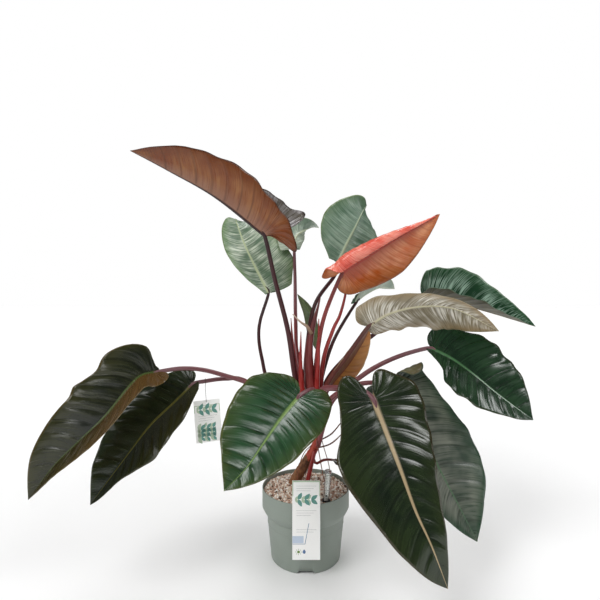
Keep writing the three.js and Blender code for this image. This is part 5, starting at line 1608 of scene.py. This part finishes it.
@dataclass
class PrintedCard:
    """A printed card: the CAD plate with thin prints on its front, in a plain pattern of leaves and bars."""

    name: str
    slot: str
    left: float
    right: float
    bottom: float
    top: float
    front: float  # y of the front face
    friezes: tuple[float, ...]  # heights of the leaf friezes, as shares of the card's height
    lines: tuple[float, ...]  # heights of the hairlines, as shares of the card's height
    signs: bool = False  # whether it shows the water level, the drop and the sun
    place: Callable[[Array], Array] = lambda points: points
    inset: float = 0.4  # mm from the card's edge to the print

    def __post_init__(self) -> None:
        """Works out the card's size and the print's left and right edge."""
        self.wide, self.high = self.right - self.left, self.top - self.bottom
        self.x0, self.x1 = self.left + self.inset, self.right - self.inset

    def frieze(self, level: float) -> list[Array]:
        """A garland across the card: pairs of broad leaves along one height, which spread forward from it.

        Args:
            level: its height, as a share of the card's.

        Returns:
            The leaves' outlines.
        """
        pairs = 6
        leaves = []
        for k in range(pairs):
            x = self.left + self.wide * (0.1 + 0.58 * k / (pairs - 1))
            z = self.bottom + level * self.high
            length = self.wide * (0.24 + 0.04 * math.cos(3.1 * k + 4 * level))
            spread = 50 + 14 * math.sin(2.4 * k + 7 * level)
            leaves += [lens(x, z, length, 0.5 * length, 90 - side * spread) for side in (1, -1)]
        return leaves

    def border(self) -> list[Array]:
        """A bar along the top, and one down each side of the card's top fifth.

        Returns:
            The bars' outlines.
        """
        upper, lower = self.top - 0.02 * self.high, self.top - 0.2 * self.high
        return [oblong(self.x0, upper, self.x1, self.top - self.inset),
                oblong(self.x0, lower, self.x0 + 0.03 * self.wide, upper),
                oblong(self.x1 - 0.03 * self.wide, lower, self.x1, upper)]

    def hairlines(self) -> list[Array]:
        """Hairlines of three lengths in turn, 0.5 mm high.

        Returns:
            The lines' outlines.
        """
        heights = [self.bottom + t * self.high for t in self.lines]
        return [oblong(self.x0 + 0.14 * self.wide, z, self.x0 + (0.86 - 0.1 * (k % 3)) * self.wide, z + 0.5)
                for k, z in enumerate(heights)]

    def water_signs(self) -> list[tuple[GroundFinish, list[Array]]]:
        """The water level beside the slanting line of a pot's wall, and below it a sun and a drop.

        Returns:
            Each ink and its outlines.
        """
        x0, z0, wide, high = self.x0, self.bottom, self.wide, self.high
        water = [oblong(x0, z0 + 0.21 * high, x0 + 0.4 * wide, z0 + 0.3 * high)]
        wall = np.array([[x0 + across * wide, z0 + up * high]
                         for across, up in ((0.44, 0.2), (0.46, 0.2), (0.6, 0.46), (0.58, 0.46))])
        ground = oblong(x0, z0 + 0.197 * high, x0 + 0.46 * wide, z0 + 0.203 * high)
        x, z, ray = x0 + 0.22 * wide, z0 + 0.1 * high, 0.075 * wide
        sun = [disc(x, z, 0.1 * wide)]
        sun += [lens(x + ray * math.sin(math.radians(a)), z + ray * math.cos(math.radians(a)),
                     0.045 * wide, 0.02 * wide, a) for a in range(0, 360, 45)]
        drop = lens(x0 + 0.42 * wide, z - 0.07 * wide, 0.16 * wide, 0.11 * wide, 0)
        return [(INK_SKY, water), (INK_BLUE, [wall, ground, drop]), (INK_GREEN, sun)]

    def areas(self) -> list[tuple[GroundFinish, list[Array]]]:
        """The printed areas: border and friezes, whose pairs change colour in turn, hairlines and signs.

        Returns:
            Each ink and its outlines.
        """
        leaves = [leaf for level in self.friezes for leaf in self.frieze(level)]
        inks = [(INK_SAGE, self.border() + leaves[0::4] + leaves[1::4]),
                (INK_TEAL, leaves[2::4] + leaves[3::4]), (INK_GREY, self.hairlines())]
        return inks + (self.water_signs() if self.signs else [])

    def build(self, stock: Material) -> None:
        """Dresses the CAD plate and makes its prints.

        Args:
            stock: the card's own material.
        """
        dress(self.name, stock)
        for number, (ink, outlines) in enumerate(self.areas()):
            depth = 0.05 + 0.01 * number  # so that no two inks share a plane where leaves cross
            surface = join([plate(o, self.front - depth, self.front - 0.01) for o in outlines])
            surface.points = self.place(surface.points)
            Piece(f"{self.name}_print_{number}", self.slot, smooth=False).build(surface, ink.material())


@dataclass
class WaterGauge:
    """The gauge in the granules, in mm: a clear tube with a scale inside, a rounded cap and a dark ring."""

    x: float = 49
    y: float = -80
    bottom: float = 135
    height: float = 121
    radius: float = 8
    wall: float = 1
    cap_radius: float = 9.4
    ring_radius: float = 11
    ring: tuple[float, float] = (42, 51)  # its lower and upper end above the gauge's bottom
    scale_half: float = 4.6  # half the width of the scale's strip
    ticks: int = 16
    tilt: float = 4  # degrees

    def placed(self, surface: Surface) -> Surface:
        """Tilts a surface made upright at the origin about the Y axis and moves it to the gauge's foot.

        Args:
            surface: the surface, which is changed.

        Returns:
            The same surface.
        """
        c, s = math.cos(math.radians(self.tilt)), math.sin(math.radians(self.tilt))
        x, y, z = surface.points.T
        tilted = np.stack([x * c + z * s, y, z * c - x * s], 1)
        surface.points = tilted + np.array([self.x, self.y, self.bottom])
        return surface

    def turned(self, corners: Sequence[Point]) -> Surface:
        """A rounded profile turned round the gauge's own axis."""
        return self.placed(lathe(rounded(corners), 40))

    def marks(self) -> Surface:
        """Ticks up the scale, every fifth of them long, and a round mark low on it.

        Returns:
            The marks, just in front of the strip.
        """
        ticks = []
        for k, z in enumerate(np.linspace(54, self.height - 8, self.ticks)):
            start, end = (-4, 0.5) if k % 5 else (-4.4, 4.4)
            ticks.append(plate(oblong(start, z, end, z + 0.8), -0.7, -0.45))
        return self.placed(join([*ticks, plate(disc(0, 60, 5), -0.95, -0.75)]))

    def build(self) -> None:
        """Makes the tube, the cap, the ring, the scale and its ticks."""
        clear, dark = ClearFinish().material(), DARK_PLASTIC.material()
        r, h, cap, outer = self.radius, self.height, self.cap_radius, self.ring_radius
        bore, near, (low, high) = r - self.wall, r + 0.4, self.ring
        tube_wall = Piece("gauge_tube_clear", "gauge_clear", ("gauge_tube",)).build(
            self.turned([(0, 0, 0), (r, 0, 1), (r, h, 0.4), (bore, h, 0.3), (bore, 1.5, 0.5), (0, 1.5, 0)]),
            clear, 0.01)
        tube_wall.visible_shadow = False  # clear plastic lets the light through to the scale
        Piece("gauge_cap_clear", "gauge_clear", ("gauge_cap",)).build(
            self.turned([(0, h + 0.4, 0), (cap, h + 0.4, 0.8), (cap - 0.1, h + 5.6, 1.6), (6.5, h + 7.3, 1.2),
                         (0, h + 7.35, 0)]), clear, 0.01)
        Piece("gauge_ring_dark", "gauge_dark", ("gauge_ring",)).build(
            self.turned([(near, low, 0.0), (outer, low, 0.8), (outer, high, 0.8), (near, high, 0.3),
                         (near, low, 0.0)]), dark, 0.01)
        strip = plate(oblong(-self.scale_half, 4, self.scale_half, h - 4), -0.4, 0.4)
        Piece("gauge_scale", "gauge_clear").build(self.placed(strip), SCALE_STRIP.material())
        Piece("gauge_ticks", "gauge_dark").build(self.marks(), dark)


@dataclass
class HangTag:
    """The printed tag on a twine from the left stalk: its plate leans and turns about its top centre."""

    top_centre: Point = (-257, -90, 447)
    turn: float = 14
    lean: float = -4
    thread_radius: float = 0.6
    route: Sequence[Point] = (
        (-260, -89, 487.8), (-260, -89.2, 484.7), (-260, -89.5, 481.3), (-259.9, -89.8, 477.9),
        (-259.7, -90.1, 474.5), (-259.4, -90.4, 471.1), (-259.1, -90.7, 467.7), (-258.8, -90.9, 464.3),
        (-258.5, -91.1, 460.9), (-258.2, -91.3, 457.5), (-257.9, -91.4, 454.1), (-257.6, -91.5, 450.7),
        (-257.4, -91.5, 447.3), (-257.2, -91.5, 443.9), (-257.1, -91.5, 440.5))

    def place(self, points: Array) -> Array:
        """Turns points about Z, leans them about Y and hangs them from the tag's top centre.

        Args:
            points: rows of x, y and z about that centre.

        Returns:
            The placed points.
        """
        a, b = math.radians(self.turn), math.radians(self.lean)
        x, y, z = points.T
        x, y = x * math.cos(a) - y * math.sin(a), x * math.sin(a) + y * math.cos(a)
        x, z = x * math.cos(b) + z * math.sin(b), z * math.cos(b) - x * math.sin(b)
        return np.stack([x, y, z], 1) + np.array(self.top_centre)

    def build(self, stock: Material) -> None:
        """Args:
            stock: the tag's own material.
        """
        PrintedCard("hang_tag", "tag_print", left=-33, right=33, bottom=-108, top=-12, front=-0.4,
                    friezes=(0.88, 0.38, 0.26, 0.14), lines=(0.7, 0.64, 0.58), place=self.place).build(stock)
        twine = TWINE.material()
        dress("tag_loop", twine)
        ply = tube(self.route, lambda share: np.full_like(share, self.thread_radius), 10, 0.6,
                   lambda angle, share: 0.93 + 0.07 * np.cos(2 * angle + 60 * share))
        thread = Piece("tag_twine", "thread", ("tag_thread",)).build(ply, twine)


# Stage


@dataclass(frozen=True)
class Lamp:
    """A far lamp: the direction it stands in, its strength in watts a square metre and its width in degrees.

    It either lights the body colours or, with gloss, is seen in the gloss alone.
    """

    name: str
    towards: Point
    strength: float
    spread: float
    gloss: bool = False

    def build(self) -> None:
        """Adds the lamp, 3 m out for each unit of its direction, turned to the origin."""
        data = bpy.data.lights.new(self.name, "SUN")
        data.energy, data.angle = self.strength, math.radians(self.spread)
        made = new_object(self.name, data)
        made.location = [3 * c for c in self.towards]
        made.visible_glossy, made.visible_diffuse = self.gloss, not self.gloss
        made.rotation_euler = Vector(self.towards).to_track_quat("Z", "Y").to_euler()


@dataclass
class Studio:
    """A white room with soft light: three broad lamps for the colours, four narrower ones for the gloss."""

    eye: Point = (-0.0156, -1.215, 0.705)  # the level camera's place in metres
    lens: float = 26.16
    glow: float = 0.42  # strength of the room's own light on the plant
    dim: float = 0.12  # strength of the room in the gloss, where only the lamps are bright
    reach: float = 40  # metres from the middle of the floor to its edges
    lamps: tuple[Lamp, ...] = (
        Lamp("key", (-0.75, -0.75, 1.0), 1.5, 30),
        Lamp("fill", (0.9, -0.5, 0.9), 0.8, 34),
        Lamp("top", (0.1, 0.4, 1.0), 0.7, 40),
        Lamp("left gloss", (-0.6, -0.6, 0.62), 0.9, 20, gloss=True),
        Lamp("right gloss", (0.8, -0.25, 0.75), 0.7, 18, gloss=True),
        Lamp("front gloss", (-0.08, -1.0, 0.2), 0.2, 10, gloss=True),
        Lamp("high gloss", (0.05, 0.25, 1.0), 1.1, 24, gloss=True))

    def camera(self) -> None:
        """Sets the level camera that looks along +Y."""
        data = bpy.data.cameras.new("camera")
        data.lens, data.sensor_width = self.lens, 36.0
        data.clip_end = 100
        made = new_object("camera", data)
        made.location, made.rotation_euler = self.eye, (math.pi / 2, 0, 0)
        bpy.context.scene.camera = made

    def floor(self) -> None:
        """Lays the floor, in white paint without gloss."""
        a = self.reach
        mesh = bpy.data.meshes.new("floor")
        mesh.from_pydata([(-a, -a, 0), (a, -a, 0), (a, a, 0), (-a, a, 0)], [], [(0, 1, 2, 3)])
        floor = new_object("floor", mesh)
        material, _, shader = new_material("white studio floor")
        shader.inputs["Base Color"].default_value = linear("f8f8f8")
        shader.inputs["Roughness"].default_value = 1.0
        shader.inputs["Specular IOR Level"].default_value = 0.0
        mesh.materials.append(material)

    def room(self) -> None:
        """Sets the room's light: white to the camera, a glow on the plant, and dim in the gloss."""
        world = bpy.data.worlds.new("studio")
        world.use_nodes = True
        tree = world.node_tree
        rays = add(tree, "ShaderNodeLightPath").outputs
        lit = ramp(tree, rays["Is Glossy Ray"], 0, 1, self.glow, self.dim)
        bright = ramp(tree, rays["Is Camera Ray"], 0, 1, lit, 1.0)
        tree.nodes["Background"].inputs[0].default_value = linear("ffffff")
        tree.links.new(bright, tree.nodes["Background"].inputs[1])
        bpy.context.scene.world = world
        bpy.context.scene.view_settings.view_transform = "Standard"

    def build(self) -> None:
        """Makes the floor, the room's glow and the lamps."""
        self.floor()
        self.room()
        for lamp in self.lamps:
            lamp.build()
        LOG.info("studio: %d lamps", len(self.lamps))


def main() -> None:
    """Builds the plant, piece by piece, round the frame."""
    logging.basicConfig(level=logging.INFO, format="%(message)s")
    low, high = (np.array(corner, float) for corner in CAD_BOX)
    limits = low / MM + BOX_MARGIN, high / MM - BOX_MARGIN
    studio = Studio()
    studio.camera()
    stock = CARD_STOCK.material()
    HangTag().build(stock)
    finishes: dict[str, Material] = {}
    for leaf in LEAVES:
        leaf.build(finishes, limits)
    for rod in RODS:
        rod.build(finishes)
    pot = NurseryPot()
    pot.build()
    Granules(pot).build()
    WaterGauge().build()
    PrintedCard("care_card", "card_print", left=-35, right=35, bottom=53, top=252, front=-121.3, signs=True,
                friezes=(0.76,), lines=(0.93, 0.9, 0.87, 0.62, 0.59, 0.56, 0.38, 0.35)).build(stock)
    studio.build()


if __name__ == "__main__":
    main()
